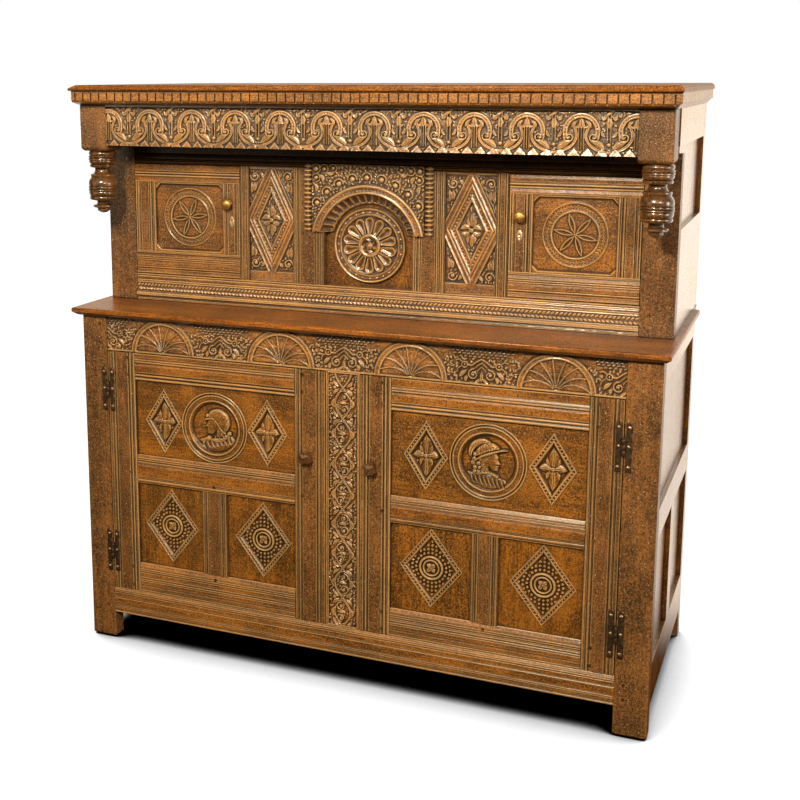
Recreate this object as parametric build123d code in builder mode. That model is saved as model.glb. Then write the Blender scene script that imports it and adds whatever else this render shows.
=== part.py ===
from build123d import *
import math
import os

# Court cupboard, joined oak. Millimetres, +Z up, front towards -Y, floor at Z = 0.
# X = 0 is the centre of the frame and Y = 0 the middle of the overall depth.
# Each "span" is a pair (low, high) along one axis.

# ---------------------------------------------------------------- driving dimensions
half_width = 750.0          # outside faces of the frame
overall_depth = 675.0       # nose of the top board to the back
cornice_reach = 35.0        # top board in front of the base
base_front = -overall_depth / 2 + cornice_reach
back = overall_depth / 2
table_reach = 26.0          # table board in front of the base
table_half = 768.0
table_end = 255.0           # where its overhanging ends stop
recess = 150.0              # upper stage behind the base front
frieze_set_back = 15.0
upper_front = base_front + recess
frieze_front = base_front + frieze_set_back

table_under, table_top = 907.0, 927.0
soffit_under = 1352.0       # top of the upper stage's front frame
canopy_top = 1491.0         # under the top boards
total_height = 1506.0

stile_thick = 40.0
rail_thick = 28.0
door_thick = 24.0
door_gap = 1.5
panel_thick = 8.0
panel_recess = 9.0
tongue = 6.0                # how far a panel enters its grooves
groove_side = 3.6           # square tool that cuts the scratched lines

# lower stage
opening_left = (-678.0, -53.0)
opening_right = (36.0, 671.0)
bottom_rail = (75.0, 150.0)
lunette_rail_under = 814.0
lunette_hubs = (-512.0, -176.0, 164.0, 513.0)
lunette_radius = 93.0
lunette_band = 12.5
lunette_hub_radius = 13.0
carving_depth = 4.0
flower_lozenge = (54.0, 86.0)     # half width and half height
wheel_lozenge = (80.0, 100.0)
flower_offsets = (-148.0, 152.0)  # from the middle of the wide panel
medallion_radius, medallion_inner = 93.0, 74.0
ornament_raise = 3.0
sill_run, sill_depth = 10.0, 7.0  # the sloping upper edge of a rail under a panel
side_rail_thick = 22.0
side_rails = {"top": (846.0, 907.0), "middle": (480.0, 553.0), "bottom": (76.0, 180.0)}
back_stile_depth = 40.0

# upper stage
upper_opening_left = (-669.0, -354.0)
upper_opening_right = (357.0, 670.0)
upper_rail_top = 1000.0     # top of the twist-carved rail
upper_rail_under = 1298.0   # underside of the top rail
upper_door_thick = 22.0
muntin_spans = [(-354.0, -329.0), (-204.0, -120.0), (116.0, 200.0), (327.0, 357.0)]
arch_centre_z = 1110.0
arch_radius = 150.0
arch_band_inner = 127.0
arch_reveal_inner = 100.0
arch_foot = 1138.0
arch_top = 1309.0
arch_half = 148.0
applied = 10.0              # thickness of the applied arch board
niche_depth = 22.0
rosette_radius = 95.0
rosette_centre_z = 1106.0
petals = 14
spool_width = 24.0
spool_count = 15

# canopy
block_size = 77.0
block_under = 1336.0
frieze_top = 1455.0
dentil_pitch = 23.55
dentil_gap = 3.6
dentil_sink = 5.0
dentil_first, dentil_count = -735.0, 64
cornice_ends = (-747.0, 764.0)    # flush on the left, a moulded return on the right
cornice_faces = (-747.0, 750.0)   # the frame's sides just below the cornice
pendant_places = (-708.0, 711.0)
pendant_y = frieze_front + block_size / 2

parts_folder = "parts"
os.makedirs(parts_folder, exist_ok=True)


# ---------------------------------------------------------------- helpers
def middle(span):
    return (span[0] + span[1]) / 2


def length(span):
    return abs(span[1] - span[0])


def mirrored(span, side):
    """The same span on the right (side 1) or the left (side -1)."""
    return tuple(sorted((span[0] * side, span[1] * side)))


def block(x, y, z, mode=Mode.ADD):
    """A squared timber between spans, added to the part being built."""
    with Locations((middle(x), middle(y), middle(z))):
        Box(length(x), length(y), length(z), mode=mode)


def timber(x, y, z, housings=()):
    """A plain squared timber, with housings cut for what enters it."""
    with BuildPart() as piece:
        block(x, y, z)
        for housing in housings:
            block(*housing, mode=Mode.SUBTRACT)
    return piece.part


def moulded_rail(x, y, z, lines=(), housings=(), sill=False):
    """A rail along X with scratched lines at the given heights, and a sill under a panel."""
    with BuildPart() as piece:
        with BuildSketch(Plane.YZ.offset(x[0])):
            with Locations((middle(y), middle(z))):
                Rectangle(length(y), length(z))
            for height in lines:
                with Locations((y[0], height)):
                    Rectangle(groove_side, groove_side, rotation=45, mode=Mode.SUBTRACT)
            if sill:
                with BuildLine():
                    Polyline((y[0], z[1]), (y[0] + sill_depth, z[1]), (y[0], z[1] - sill_run), close=True)
                make_face(mode=Mode.SUBTRACT)
        extrude(amount=length(x))
        for housing in housings:
            block(*housing, mode=Mode.SUBTRACT)
    return piece.part


def moulded_stile(x, y, z, lines=(), housings=()):
    """An upright whose front face carries scratched lines at the given X."""
    with BuildPart() as piece:
        with BuildSketch(Plane.XY.offset(z[0])):
            with Locations((middle(x), middle(y))):
                Rectangle(length(x), length(y))
            for across in lines:
                with Locations((across, y[0])):
                    Rectangle(groove_side, groove_side, rotation=45, mode=Mode.SUBTRACT)
        extrude(amount=length(z))
        for housing in housings:
            block(*housing, mode=Mode.SUBTRACT)
    return piece.part


def save(label, *pieces):
    """Write one node: a single solid, or a group of separate solids."""
    solids = [solid for piece in pieces for solid in piece.solids()]
    node = Part(Compound(solids).wrapped) if len(solids) > 1 else pieces[0]
    node.label = label
    export_step(node, os.path.join(parts_folder, label + ".step"))
    return node


def grown(span, amount):
    return (span[0] - amount, span[1] + amount)


# ---------------------------------------------------------------- lower stage: frame
base_y = (base_front, base_front + stile_thick)
back_y = (back - back_stile_depth, back)
side_inner = half_width - side_rail_thick
side_y = (base_y[1], back_y[0])
foot_round = 7.0


def base_stile(x):
    """A front stile that runs down to the floor, its foot worn round."""
    with BuildPart() as stile:
        block(x, base_y, (0, table_under))
        chamfer(stile.edges().group_by(Axis.Z)[0], foot_round)
    return stile.part


base_front_stile_left = base_stile((-half_width, opening_left[0]))
save("base_front_stile_left", base_front_stile_left)
base_front_stile_right = base_stile((opening_right[1], half_width))
save("base_front_stile_right", base_front_stile_right)

back_stile_width = 60.0
save("base_back_stiles", *[
    timber(mirrored((half_width - back_stile_width, half_width), side), back_y, (0, table_under))
    for side in (-1, 1)])

rail_y = (base_front, base_front + rail_thick)
rail_x = (opening_left[0], opening_right[1])
lunette_z = (lunette_rail_under + 5.0, table_under)
with BuildPart() as lunette_rail:
    block(rail_x, rail_y, (lunette_rail_under, table_under))
    with BuildSketch(Plane.XZ.offset(-base_front)):
        # the ground is cut away between the half-round bands and inside them
        with Locations((middle(rail_x), middle(lunette_z))):
            Rectangle(length(rail_x), length(lunette_z))
        with Locations(*[(hub, lunette_rail_under) for hub in lunette_hubs]):
            Circle(lunette_radius, mode=Mode.SUBTRACT)
            Circle(lunette_radius - lunette_band)
            Circle(lunette_hub_radius, mode=Mode.SUBTRACT)
        with Locations((middle(rail_x), middle(lunette_z))):
            Rectangle(length(rail_x), length(lunette_z), mode=Mode.INTERSECT)
    extrude(amount=-carving_depth, mode=Mode.SUBTRACT)
save("lunette_rail", lunette_rail.part)
save("base_bottom_rail", moulded_rail(rail_x, rail_y, bottom_rail, lines=(82.0, 104.0, 126.0, 143.0)))
save("base_centre_muntin", moulded_stile(
    (opening_left[1], opening_right[0]), (base_front, base_front + door_thick),
    (bottom_rail[1], lunette_rail_under), lines=(-47.0, 30.0)))

# sides: three rails, a short muntin below, one wide panel above two narrow ones
side_muntin_y = (middle(side_y) - 30.0, middle(side_y) + 30.0)
side_panel_face = half_width - 12.0
bearer_section = (20.0, 18.0)
floor_thick = 14.0
floor_top = 148.0


def side_panel_spans(side):
    x = mirrored((side_panel_face - panel_thick, side_panel_face), side)
    low = (side_rails["bottom"][1], side_rails["middle"][0])
    high = (side_rails["middle"][1], side_rails["top"][0])
    return [
        (x, grown((side_y[0], side_muntin_y[0]), tongue), grown(low, tongue)),
        (x, grown((side_muntin_y[1], side_y[1]), tongue), grown(low, tongue)),
        (x, grown(side_y, tongue), grown(high, tongue)),
    ]


for name, side in (("left", -1), ("right", 1)):
    panels = side_panel_spans(side)
    rail_across = mirrored((side_inner, half_width), side)
    members = [timber(rail_across, side_y, span, panels) for span in side_rails.values()]
    members.append(timber(rail_across, side_muntin_y,
                          (side_rails["bottom"][1], side_rails["middle"][0]), panels))
    bearer_x = mirrored((side_inner - bearer_section[0], side_inner), side)
    bearer_z = (floor_top - floor_thick - bearer_section[1], floor_top - floor_thick)
    members.append(timber(bearer_x, side_y, bearer_z))
    save(f"base_side_rails_{name}", *members)

# the stiles' grooves stop short of the side panels, which meet them face to face
for name, side in (("left", -1), ("right", 1)):
    boards = []
    for x, y, z in side_panel_spans(side):
        boards.append(timber(x, (max(y[0], side_y[0]), min(y[1], side_y[1])), z))
    save(f"base_side_panels_{name}", *boards)

back_rail_y = (back - 30.0, back)
back_board_y = (back - 20.0, back - 8.0)
back_x = (-half_width + back_stile_width, half_width - back_stile_width)
back_board_edges = (back_x[0], -232.0, 228.0, back_x[1])


def back_assembly(label, low_rail, high_rail):
    """Two rails with three wide boards between them."""
    board_z = (low_rail[1], high_rail[0])
    pieces = [timber(back_x, back_rail_y, low_rail), timber(back_x, back_rail_y, high_rail)]
    for start, end in zip(back_board_edges, back_board_edges[1:]):
        pieces.append(timber((start, end), back_board_y, board_z))
    save(label, *pieces)


back_assembly("base_back", (76.0, 150.0), (835.0, table_under))

floor_y = (rail_y[1], back_rail_y[0])
floor_edges = [floor_y[0], floor_y[0] + 195.0, floor_y[0] + 400.0, floor_y[1]]
corner_clear = {"front": (floor_y[0], base_y[1]), "back": (back_y[0], floor_y[1])}
floor_pieces = []
for start, end in zip(floor_edges, floor_edges[1:]):
    notches = []
    for side in (-1, 1):
        stile_x = mirrored((opening_right[1] if side > 0 else -opening_left[0], half_width), side)
        notches.append((stile_x, corner_clear["front"], (0, table_under)))
        notches.append((mirrored((half_width - back_stile_width, half_width), side),
                        corner_clear["back"], (0, table_under)))
    floor_pieces.append(timber((-side_inner, side_inner), (start, end),
                               (floor_top - floor_thick, floor_top), notches))
save("base_floor_boards", *floor_pieces)

# ---------------------------------------------------------------- table board
with BuildPart() as table_board:
    block((-table_half, table_half), (base_front - table_reach, back), (table_under, table_top))
    under_edges = table_board.edges().group_by(Axis.Z)[0]
    moulded = under_edges.sort_by(Axis.Y)[:-1]
    chamfer(moulded, 9.0, 12.0)
    top_edges = table_board.edges().group_by(Axis.Z)[-1].sort_by(Axis.Y)[:-1]
    fillet(top_edges, 4.0)
    # its moulded ends stop short of the back posts
    for side in (-1, 1):
        block(mirrored((half_width + 1.0, table_half), side), (table_end, back),
              (table_under, table_top), mode=Mode.SUBTRACT)
save("table_board", table_board.part)

# ---------------------------------------------------------------- lower doors
door_z = (bottom_rail[1] + door_gap, lunette_rail_under - door_gap)
door_y = (base_front, base_front + door_thick)
panel_y = (base_front + panel_recess, base_front + panel_recess + panel_thick)

# heights: top of the wide panel, its foot, top of the small panels, their foot
lower_doors = {
    "left": {"x": (opening_left[0] + door_gap, opening_left[1] - door_gap),
             "opening": (-595.0, -138.0), "muntin": (-404.0, -331.0),
             "levels": (740.0, 537.0, 459.0, 232.0), "hinge_side": -1,
             "hinges": (708.0, 256.0), "knob": (-104.0, 588.0)},
    "right": {"x": (opening_right[0] + door_gap, opening_right[1] - door_gap),
              "opening": (118.0, 591.0), "muntin": (322.0, 390.0),
              "levels": (731.0, 517.0, 448.0, 224.0), "hinge_side": 1,
              "hinges": (703.0, 253.0), "knob": (67.0, 581.0)},
}
knob_shank_radius = 6.0
shank_clearance = 0.3
hinge_height = 118.0
leaf_width = 14.0
leaf_thick = 2.5
barrel_radius = 4.2
barrel_stand_off = 5.0
pin_radius = 2.0
pin_clearance = 0.1
leaf_clear = 4.6            # leaf's inner edge from the pin's axis
knuckle_half = 20.0         # half the height of the three knuckles
knuckle_gap = 0.4


def hinge_axis_x(door):
    return door["x"][0] - door_gap / 2 if door["hinge_side"] < 0 else door["x"][1] + door_gap / 2


def door_panel_spans(door):
    top, wide_foot, small_top, foot = door["levels"]
    left, right = door["opening"]
    muntin = door["muntin"]
    return [
        (grown((left, right), tongue), panel_y, grown((wide_foot, top), tongue)),
        (grown((left, muntin[0]), tongue), panel_y, grown((foot, small_top), tongue)),
        (grown((muntin[1], right), tongue), panel_y, grown((foot, small_top), tongue)),
    ]


def lines_within(span, fractions):
    return [span[0] + length(span) * fraction for fraction in fractions]


def pegs_at(places, y_front, reach=26.0, size=5.0):
    """Riven square pegs, their heads a little proud of the face."""
    pegs = []
    proud = 0.8
    for x, z in places:
        with BuildPart() as peg:
            with BuildSketch(Plane.XZ.offset(-(y_front - proud))):
                with Locations((x, z)):
                    RegularPolygon(size, 6)
            extrude(amount=-reach)
        pegs.append(peg.part)
    return pegs


def turn_axis_hole(x, z, y_span):
    """A bore along Y, as a solid to be cut away."""
    with BuildPart() as bore:
        with BuildSketch(Plane.XZ.offset(-(y_span[0] - 1.0))):
            with Locations((x, z)):
                Circle(knob_shank_radius + shank_clearance)
        extrude(amount=-(length(y_span) + 2.0))
    return bore.part


for name, door in lower_doors.items():
    top, wide_foot, small_top, foot = door["levels"]
    left, right = door["opening"]
    panels = door_panel_spans(door)
    stile_left = (door["x"][0], left)
    stile_right = (right, door["x"][1])
    knob_x, knob_z = door["knob"]
    stiles = []
    for span in (stile_left, stile_right):
        stile = moulded_stile(span, door_y, door_z, lines_within(span, (0.2, 0.5, 0.8)), panels)
        if span[0] < knob_x < span[1]:
            with BuildPart() as bored:
                add(stile)
                add(turn_axis_hole(knob_x, knob_z, door_y), mode=Mode.SUBTRACT)
            stile = bored.part
        stiles.append(stile)
    rails = []
    rails.append(moulded_rail((left, right), door_y, (top, door_z[1]),
                              lines_within((top, door_z[1]), (0.12, 0.62, 0.84)), panels))
    for span in ((small_top, wide_foot), (door_z[0], foot)):
        rails.append(moulded_rail((left, right), door_y, span, lines_within(span, (0.18, 0.66)),
                                  panels, sill=True))
    short = moulded_stile(door["muntin"], door_y, (foot, small_top),
                          lines_within(door["muntin"], (0.2, 0.8)), panels)
    save(f"{name}_door_frame", *stiles, *rails, short)

    boards = []
    for (x, y, z), shape in zip(panels, ("wide", "small", "small")):
        with BuildPart() as board:
            block(x, y, z)
            centre_x, centre_z = middle(x), middle(z)
            face = Plane.XZ.offset(-y[0])
            w, h = flower_lozenge if shape == "wide" else wheel_lozenge
            offsets = flower_offsets if shape == "wide" else (0.0,)
            places = [(centre_x + offset, centre_z) for offset in offsets]
            with BuildSketch(face):
                for place in places:
                    with BuildLine():
                        Polyline((place[0] - w, place[1]), (place[0], place[1] + h),
                                 (place[0] + w, place[1]), (place[0], place[1] - h), close=True)
                    make_face()
                if shape == "wide":
                    with Locations((centre_x, centre_z)):
                        Circle(medallion_radius)
                        Circle(medallion_inner, mode=Mode.SUBTRACT)
            extrude(amount=ornament_raise)
        boards.append(board.part)
    save(f"{name}_door_panels", *boards)

    inset = 14.0
    peg_places = []
    for z in (door_z[1] - inset, top + inset, small_top + 26.0, foot - inset, door_z[0] + inset):
        peg_places += [(left - 22.0, z), (right + 22.0, z)]
    peg_places += [(middle(door["muntin"]), small_top + 14.0), (middle(door["muntin"]), foot - 14.0)]
    pegs = pegs_at(peg_places, base_front, reach=door_thick)
    save(f"{name}_door_pegs", *pegs)

# ---- wrought-iron H hinges: a leaf each side of a three-knuckle barrel
hinge_y = base_front - barrel_stand_off
knuckle_edges = (-knuckle_half, -knuckle_half / 3, knuckle_half / 3, knuckle_half)


def hinge_leaf(axis_x, centre_z, direction, knuckles):
    """One leaf on the face of the frame, scalloped at its ends, with its knuckles."""
    inner = axis_x + direction * leaf_clear
    outer = inner + direction * leaf_width
    across = tuple(sorted((inner, outer)))
    with BuildPart() as leaf:
        with BuildSketch(Plane.XZ.offset(-base_front)):
            with Locations((middle(across), centre_z)):
                Rectangle(leaf_width, hinge_height)
            for end in (-1, 1):
                with Locations((middle(across), centre_z + end * hinge_height / 2)):
                    Circle(3.4, mode=Mode.SUBTRACT)
        extrude(amount=leaf_thick)
        for low, high in knuckles:
            z = (centre_z + low + knuckle_gap / 2, centre_z + high - knuckle_gap / 2)
            with BuildSketch(Plane.XY.offset(z[0])):
                with Locations((axis_x, hinge_y)):
                    Circle(barrel_radius)
                web_x = tuple(sorted((axis_x + direction, inner + direction)))
                with Locations((middle(web_x), base_front - barrel_radius / 2)):
                    Rectangle(length(web_x), leaf_thick - 0.4)
            extrude(amount=length(z))
        with Locations((axis_x, hinge_y, centre_z)):
            Cylinder(pin_radius + pin_clearance, 2 * knuckle_half + 2, mode=Mode.SUBTRACT)
    return leaf.part


def hinge_pin(axis_x, centre_z):
    """A pin with a button head that rests on the top knuckle."""
    with BuildPart() as pin:
        with Locations((axis_x, hinge_y, centre_z)):
            Cylinder(pin_radius, 2 * knuckle_half)
        with Locations((axis_x, hinge_y, centre_z + knuckle_half + 1.3)):
            Cylinder(barrel_radius - 0.6, 3.0)
    return pin.part


stile_leaves, pins = [], []
for name, door in lower_doors.items():
    axis_x = hinge_axis_x(door)
    door_leaves = []
    for centre_z in door["hinges"]:
        outward = door["hinge_side"]
        door_leaves.append(hinge_leaf(axis_x, centre_z, -outward, [knuckle_edges[1:3]]))
        stile_leaves.append(hinge_leaf(axis_x, centre_z, outward, [knuckle_edges[0:2], knuckle_edges[2:4]]))
        pins.append(hinge_pin(axis_x, centre_z))
    save(f"{name}_door_hinge_leaves", *door_leaves)
save("stile_hinge_leaves", *stile_leaves)
save("hinge_pins", *pins)

# ---- faceted wooden turn knobs, with the tongue that catches behind the centre muntin
knob_head = 27.0
knob_neck = 8.0
knob_depth = 13.0
tongue_section = (20.0, 9.0)
tongue_reach = {"left": 64.0, "right": 48.0}
tongue_y = (door_y[1] + 1.2, door_y[1] + 1.2 + tongue_section[1])

for name, door in lower_doors.items():
    knob_x, knob_z = door["knob"]
    with BuildPart() as turn_knob:
        with BuildSketch(Plane.XZ.offset(-(base_front - knob_neck))):
            with Locations((knob_x, knob_z)):
                Circle(knob_shank_radius)
        extrude(amount=-(knob_neck + door_thick + 1.2))
        with BuildSketch(Plane.XZ.offset(-(base_front - knob_neck))):
            with Locations((knob_x, knob_z)):
                Rectangle(knob_head, knob_head, rotation=20)
        extrude(amount=knob_depth, taper=6)
        top_face = turn_knob.faces().sort_by(Axis.Y)[0]
        with BuildSketch(top_face):
            Rectangle(knob_head - 4.0, knob_head - 4.0, rotation=20)
        extrude(amount=6.0, taper=52)
    save(f"{name}_door_turn_knob", turn_knob.part)

    with BuildPart() as catch:
        block((knob_x - tongue_section[0] / 2, knob_x + tongue_section[0] / 2), tongue_y,
              (knob_z - tongue_reach[name], knob_z + 12.0))
        fillet(catch.edges().filter_by(Axis.Y), 6.0)
    save(f"{name}_door_catch_tongue", catch.part)

# ---------------------------------------------------------------- upper stage: frame
upper_y = (upper_front, upper_front + stile_thick)
upper_rail_y = (upper_front, upper_front + rail_thick)
upper_x = (upper_opening_left[0], upper_opening_right[1])
pivot_radius = 3.0
pivot_clearance = 0.2
pivot_inset = 9.0
pivot_depth = 8.0
pivot_reach = 12.0

upper_doors = {
    "left": {"x": (upper_opening_left[0] + door_gap, upper_opening_left[1] - door_gap),
             "opening": (-606.0, -407.0), "hinge_side": -1, "knob": (-388.0, 1199.0),
             "wheel": (-507.0, 1158.0), "muntin_edge": upper_opening_left[1]},
    "right": {"x": (upper_opening_right[0] + door_gap, upper_opening_right[1] - door_gap),
              "opening": (416.0, 612.0), "hinge_side": 1, "knob": (386.0, 1198.0),
              "wheel": (515.0, 1157.0), "muntin_edge": upper_opening_right[0]},
}


def pivot_x(door):
    if door["hinge_side"] < 0:
        return door["x"][0] + pivot_inset
    return door["x"][1] - pivot_inset


pivot_y = upper_front + pivot_depth


def pivot_holes(z_span):
    """The sockets in the rails for the doors' pivot pins, cut from the part being built."""
    for door in upper_doors.values():
        with Locations((pivot_x(door), pivot_y, middle(z_span))):
            Cylinder(pivot_radius + pivot_clearance, length(z_span), mode=Mode.SUBTRACT)


save("upper_front_stile_left", timber((-half_width, upper_opening_left[0]), upper_y,
                                      (table_top, soffit_under)))
save("upper_front_stile_right", timber((upper_opening_right[1], half_width), upper_y,
                                       (table_top, soffit_under)))
save("upper_back_stiles", *[
    timber(mirrored((half_width - back_stile_width, half_width), side), back_y, (table_top, canopy_top))
    for side in (-1, 1)])

with BuildPart() as upper_top_rail:
    add(moulded_rail(upper_x, upper_rail_y, (upper_rail_under, soffit_under), lines=(1314.0, 1325.0)))
    pivot_holes((upper_rail_under, upper_rail_under + pivot_reach + 1.0))
save("upper_top_rail", upper_top_rail.part)

# the lower rail: a ledge moulding, the twist-carved band and two fillets above it
ledge = (939.0, 950.0)
ledge_reach = 6.0
with BuildPart() as twist_rail:
    with BuildSketch(Plane.YZ.offset(upper_x[0])):
        with Locations((middle(upper_rail_y), middle((table_top, upper_rail_top)))):
            Rectangle(rail_thick, upper_rail_top - table_top)
        with BuildLine():
            Polyline((upper_front + 1, ledge[0] - 6), (upper_front - ledge_reach, ledge[0]),
                     (upper_front - ledge_reach, ledge[1] - 4), (upper_front + 1, ledge[1] + 3),
                     close=True)
        make_face()
        for height in (979.0, 987.0, 994.0):
            with Locations((upper_front, height)):
                Rectangle(groove_side, groove_side, rotation=45, mode=Mode.SUBTRACT)
    extrude(amount=length(upper_x))
    pivot_holes((upper_rail_top - pivot_reach - 1.0, upper_rail_top))
save("twist_rail", twist_rail.part)

# muntins, the two lozenge panels and the niche panel
upper_panel_z = (upper_rail_top, upper_rail_under)
lozenge_y = (upper_front + 7.0, upper_front + 7.0 + 10.0)
niche_y = (upper_front + niche_depth, upper_front + niche_depth + 6.0)
lozenge_spans = {"left": (muntin_spans[0][1], muntin_spans[1][0]),
                 "right": (muntin_spans[2][1], muntin_spans[3][0])}
niche_span = (muntin_spans[1][1], muntin_spans[2][0])
panel_housings = [(grown(span, tongue), lozenge_y, upper_panel_z) for span in lozenge_spans.values()]
panel_housings.append((grown(niche_span, tongue), niche_y, upper_panel_z))

bolt_height = 22.0
bolt_thick = 6.0
bolt_throw = 10.0
lock_z = 1150.0
lock_plate_thick = 13.0
bolt_y = (upper_front + upper_door_thick + 1.0, upper_front + upper_door_thick + 1.0 + bolt_thick)
keep_y = (upper_front + upper_door_thick, upper_rail_y[1])
keeps = []
for door in upper_doors.values():
    inward = -door["hinge_side"]
    keep_x = tuple(sorted((door["muntin_edge"], door["muntin_edge"] + inward * (bolt_throw + 2.0))))
    keeps.append((keep_x, keep_y, (lock_z - bolt_height / 2 - 1, lock_z + bolt_height / 2 + 1)))

muntins = []
for span in muntin_spans:
    wide = length(span) > 50
    lines = lines_within(span, (0.1, 0.3, 0.72, 0.9) if wide else (0.25, 0.75))
    muntins.append(moulded_stile(span, upper_rail_y, upper_panel_z, lines, panel_housings + keeps))
save("upper_muntins", *muntins)

for name, span in lozenge_spans.items():
    with BuildPart() as lozenge_panel:
        block(grown(span, tongue), lozenge_y, upper_panel_z)
        centre = (middle(span), middle(upper_panel_z) + 11.0)
        with BuildSketch(Plane.XZ.offset(-lozenge_y[0])):
            for w, h, mode in ((61.0, 124.0, Mode.ADD), (38.0, 80.0, Mode.SUBTRACT)):
                with BuildLine():
                    Polyline((centre[0] - w, centre[1]), (centre[0], centre[1] + h),
                             (centre[0] + w, centre[1]), (centre[0], centre[1] - h), close=True)
                make_face(mode=mode)
        extrude(amount=4.0)
    save(f"lozenge_panel_{name}", lozenge_panel.part)

save("niche_panel", timber(grown(niche_span, tongue), niche_y, upper_panel_z))

# ---------------------------------------------------------------- arch, rosette and spools
arch_y = (upper_front - applied, upper_front)
band_reach = 3.0

with BuildPart() as arch_board:
    with BuildSketch(Plane.XZ.offset(-arch_y[1])):
        with Locations((0, middle((arch_foot, arch_top)))):
            Rectangle(2 * arch_half, arch_top - arch_foot)
        with Locations((0, arch_centre_z)):
            Circle(arch_band_inner, mode=Mode.SUBTRACT)
    extrude(amount=applied)
    with BuildSketch(Plane.XZ.offset(-arch_y[0])):
        with Locations((0, arch_centre_z)):
            Circle(arch_radius)
            Circle(arch_band_inner, mode=Mode.SUBTRACT)
        with Locations((0, middle((arch_foot, arch_top)))):
            Rectangle(2 * arch_half, arch_top - arch_foot, mode=Mode.INTERSECT)
    extrude(amount=band_reach)
save("arch_board", arch_board.part)

flute_count = 22
flute_radius = 9.0
with BuildPart() as arch_reveal:
    with BuildSketch(Plane.YZ):
        with BuildLine():
            Polyline((arch_y[0] + 1.0, arch_centre_z + arch_band_inner),
                     (upper_front, arch_centre_z + arch_band_inner),
                     (niche_y[0], arch_centre_z + arch_band_inner - 2.0),
                     (niche_y[0], arch_centre_z + arch_reveal_inner),
                     (niche_y[0] - 4.0, arch_centre_z + arch_reveal_inner), close=True)
        make_face()
    revolve(axis=Axis((0, 0, arch_centre_z), (0, 1, 0)), revolution_arc=360)
    block(niche_span, (arch_y[0], niche_y[0]), (arch_foot, arch_top), mode=Mode.INTERSECT)
    for index in range(flute_count):
        angle = math.pi * (index + 0.5) / flute_count
        start = Vector(arch_reveal_inner * math.cos(angle), niche_y[0] - 2.0,
                       arch_centre_z + arch_reveal_inner * math.sin(angle))
        end = Vector(arch_band_inner * math.cos(angle), arch_y[0] - 4.0,
                     arch_centre_z + arch_band_inner * math.sin(angle))
        with BuildSketch(Plane(origin=end, z_dir=(start - end).normalized())):
            RegularPolygon(flute_radius, 6)
        extrude(amount=(start - end).length + 12.0, mode=Mode.SUBTRACT)
save("arch_reveal", arch_reveal.part)

rosette_y = (niche_y[0] - 12.0, niche_y[0])
petal_root, petal_tip = (39.0, 4.5), (61.0, 9.0)   # reach and radius of the petal's two ends
petal_rim = petal_tip[0] + petal_tip[1]
petal_depth = 5.0
with BuildPart() as rosette:
    with BuildSketch(Plane.XY):
        with BuildLine():
            Polyline((0, rosette_y[0] - 5.0), (7.0, rosette_y[0] - 4.0), (11.0, rosette_y[0] + 2.0),
                     (20.0, rosette_y[0] + 2.0), (26.0, rosette_y[0] - 1.0),
                     (30.0, rosette_y[0] + 2.0), (petal_rim + 1.0, rosette_y[0] + 2.0),
                     (75.0, rosette_y[0] - 1.0), (82.0, rosette_y[0] + 1.0),
                     (88.0, rosette_y[0] + 1.0), (92.0, rosette_y[0] - 1.0),
                     (rosette_radius, rosette_y[0] + 2.0), (rosette_radius, rosette_y[1]),
                     (0, rosette_y[1]), close=True)
        make_face()
    revolve(axis=Axis.Y, revolution_arc=360)
    with BuildSketch(Plane.XZ.offset(-rosette_y[0])) as petal:
        for reach, radius in (petal_root, petal_tip):
            with Locations((0, reach)):
                Circle(radius)
        make_hull()
    hollow = extrude(petal.sketch, amount=-(petal_depth + 2.0), taper=12, mode=Mode.PRIVATE)
    with Locations(*[Location((0, 0, 0), (0, 360 * index / petals, 0)) for index in range(petals)]):
        add(hollow, mode=Mode.SUBTRACT)
rosette_part = Pos(0, 0, rosette_centre_z) * rosette.part
save("rosette", rosette_part)

spool_pitch = (arch_top - arch_foot) / spool_count
strips = []
for side in (-1, 1):
    axis_x = side * (arch_half + spool_width / 2)
    with BuildPart() as strip:
        with BuildSketch(Plane.XZ.offset(-upper_front)):
            with BuildLine():
                points = [(axis_x, arch_foot)]
                for index in range(spool_count):
                    foot_z = arch_foot + index * spool_pitch
                    points += [(axis_x + 0.62 * spool_width / 2, foot_z),
                               (axis_x + spool_width / 2, foot_z + 0.3 * spool_pitch),
                               (axis_x + spool_width / 2, foot_z + 0.7 * spool_pitch)]
                points += [(axis_x + 0.62 * spool_width / 2, arch_top), (axis_x, arch_top)]
                Polyline(*points, close=True)
            make_face()
        revolve(axis=Axis((axis_x, upper_front, 0), (0, 0, -1)), revolution_arc=180)
    strips.append(strip.part)
save("spool_strips", *strips)

# ---------------------------------------------------------------- upper doors
upper_door_z = (upper_rail_top + 2.0, upper_rail_under - 2.0)
upper_door_y = (upper_front, upper_front + upper_door_thick)
upper_panel_y = (upper_front + 6.0, upper_front + 16.0)
upper_levels = (1064.0, 1250.0)
wheel_radius, wheel_inner = 80.0, 58.0
upper_knob_radius = 12.5

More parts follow.
